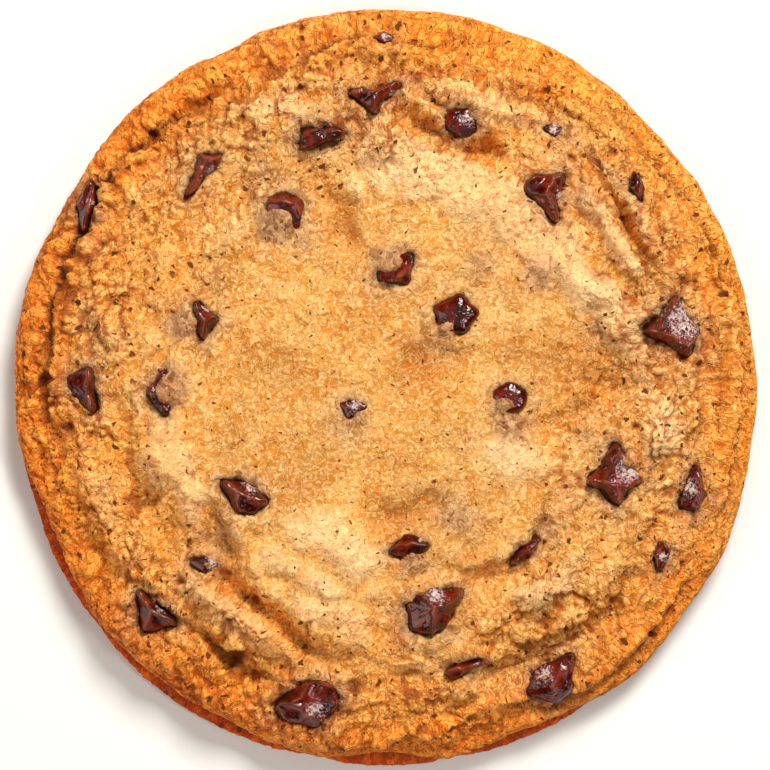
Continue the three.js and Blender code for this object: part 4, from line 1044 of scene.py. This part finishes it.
for number, chip in enumerate(CHIPS, 1):
    mean_reach = mean_corner(chip)
    bpy.ops.object.select_all(action="DESELECT")
    bpy.ops.mesh.primitive_ico_sphere_add(subdivisions=6 if mean_reach > FINE_CHIP_REACH else 5, radius=1)
    piece = bpy.context.active_object
    piece.name = f"chocolate_chip_{number:02d}"
    ball = vertex_places(piece)
    angle = np.degrees(np.arctan2(ball[:, 1], ball[:, 0])) % 360
    lean = np.degrees(np.arccos(np.clip(ball[:, 2], -1, 1)))
    depth = max(CHIP_DEPTH_LEAST, CHIP_DEPTH_SHARE * mean_reach)
    out = np.clip(lean / 90, 0, 1)
    under = np.clip((lean - 90) / 90, 0, 1)
    spread = np.where(lean <= 90, out, np.cos(under * math.pi / 2) ** 0.7)
    reach = chip_reach(chip, angle) * (1 + 0.04 * np.sin(np.radians(5 * angle + 70 * number)))
    away_x = reach * spread * np.cos(np.radians(angle))
    away_y = reach * spread * np.sin(np.radians(angle))
    chip_x, chip_y = chip["at"][0] + away_x, chip["at"][1] + away_y
    wobble_x = away_x + 0.22 * rough_noise(chip_x, chip_y, 1.1, 220 + number, 2)
    wobble_y = away_y + 0.22 * rough_noise(chip_x, chip_y, 1.1, 260 + number, 2)
    dome = np.sqrt(np.clip(1 - out**2, 0, 1))
    form = dome
    crest = np.full(away_x.shape, np.inf)
    for line in CHIP_RIDGES[number - 1]:
        crest = np.minimum(crest, nearest_on(line, wobble_x, wobble_y)[0])
    if CHIP_RIDGES[number - 1]:
        gap = reach * (1 - out)
        beside = np.sqrt(crest**2 + CREST_WIDTH**2) - CREST_WIDTH
        roof = (gap + 0.02) / (gap + 0.02 + ROOF_FALL * beside)
        form = 0.30 * dome + 0.95 * roof**1.25 * smooth(0, 0.12, 1 - out)
        form = form + CREST_BEAD * bell(crest, 0.28) * smooth(0, 0.2, 1 - out)
    sunk = CHIP_SINK_SHARE * depth * smooth(0.85, 1, out)
    belly = -CHIP_SINK_SHARE * depth - ((1 - CHIP_SINK_SHARE) * depth) * np.sin(under * math.pi / 2)
    lumps = LUMP_RISE * rough_noise(chip_x, chip_y, 1.3, 200 + number, 2)
    rise = np.where(lean <= 90, chip["rise"] * form - sunk + lumps * (1 - out**4), belly)
    chip_z = np.minimum(chip_level(chip_x, chip_y) + rise, cad_box[1][2] / MM)
    points = np.stack([chip_x, chip_y, chip_z], axis=1)
    place_vertices(piece, points)
    film_x, film_y, film_spread = CHIP_FILMS[number - 1]
    film_side = bell(np.hypot(away_x - film_x, away_y - film_y), film_spread + 0.01)
    film_side = film_side * (1 - 0.8 * bell(crest, 0.25)) * (lean <= 90)
    # Painted highlight: a paler red-brown line along the crests, broken by the lumps.
    beaded = 0.5 * (0.4 + 1.2 * np.clip(lumps / LUMP_RISE, 0, 1))
    crest_highlight = beaded * bell(crest, 0.26) * smooth(0, 0.25, 1 - out) * (lean <= 90)
    # Painted shade: near black where the chip dips to the dough, and all over its underside.
    painted_under_shade = np.where(lean <= 90, 0.5 * smooth(0.4, 0.05, form) * smooth(0.6, 0.95, out), 1)
    write_fields(piece, {"film": film_side, "edge": crest_highlight, "under": painted_under_shade})
    bpy.ops.object.shade_smooth()
    piece.data.materials.append(chocolate.material)
    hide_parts(f"chip_{number:02d}")
    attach(piece, "root")

# The stand for the picture: a pale floor, soft light from the upper right, and a long lens straight above.
# None of it belongs to the cookie.
bpy.ops.object.select_all(action="DESELECT")
bpy.ops.mesh.primitive_plane_add(size=4, location=(0, 0, -0.0002))
floor = bpy.context.active_object
floor.name = "floor"
paper = Wiring("pale_floor")
paper.set("Base Color", (0.80, 0.80, 0.79, 1))
paper.set("Roughness", 0.9)
floor.data.materials.append(paper.material)


def add_light(name, size, power, colour, bearing, lift, away, gleam=1.0):
    """A square soft light that faces the cookie, with its bearing and lift in degrees."""
    light = bpy.data.lights.new(name, "AREA")
    light.size = size
    light.energy = power
    light.color = colour
    light.specular_factor = gleam
    lamp = bpy.data.objects.new(name, light)
    bpy.context.scene.collection.objects.link(lamp)
    flat_away = away * math.cos(math.radians(lift))
    lamp.location = (
        flat_away * math.cos(math.radians(bearing)),
        flat_away * math.sin(math.radians(bearing)),
        away * math.sin(math.radians(lift)),
    )
    lamp.rotation_euler = (math.radians(90 - lift), 0, math.radians(bearing + 90))


add_light("key", 0.22, 5.0, (1.0, 0.96, 0.90), 66, 46, 0.62)
add_light("fill", 0.60, 2.75, (1.0, 0.91, 0.80), 212, 36, 0.75, 0.06)
add_light("side", 0.12, 1.5, (1.0, 0.96, 0.90), 340, 48, 0.9, 0.7)
add_light("sky", 1.2, 1.8, (1.0, 0.98, 0.95), 0, 89, 0.9, 0.04)
world = bpy.data.worlds.new("soft_room")
world.use_nodes = True
world.node_tree.nodes["Background"].inputs["Color"].default_value = (1, 0.99, 0.97, 1)
world.node_tree.nodes["Background"].inputs["Strength"].default_value = 0.05
bpy.context.scene.world = world
bpy.context.scene.view_settings.view_transform = "Standard"

# The camera looks straight down, so far off that the cookie fills the frame as it does in the photo.
PHOTO_SIDE = 770
MM_PER_PIXEL = 0.1173
PHOTO_MIDDLE = (-0.06, 0.41)
LENS = 200
SENSOR = 36
lens = bpy.data.cameras.new("photo_lens")
lens.lens = LENS
lens.sensor_width = SENSOR
lens.clip_start = 0.01
lens.clip_end = 10
camera = bpy.data.objects.new("camera", lens)
lens_height = PHOTO_SIDE * MM_PER_PIXEL * MM * LENS / SENSOR + LIP_HEIGHT * MM
camera.location = (PHOTO_MIDDLE[0] * MM, PHOTO_MIDDLE[1] * MM, lens_height)
bpy.context.scene.collection.objects.link(camera)
bpy.context.scene.camera = camera
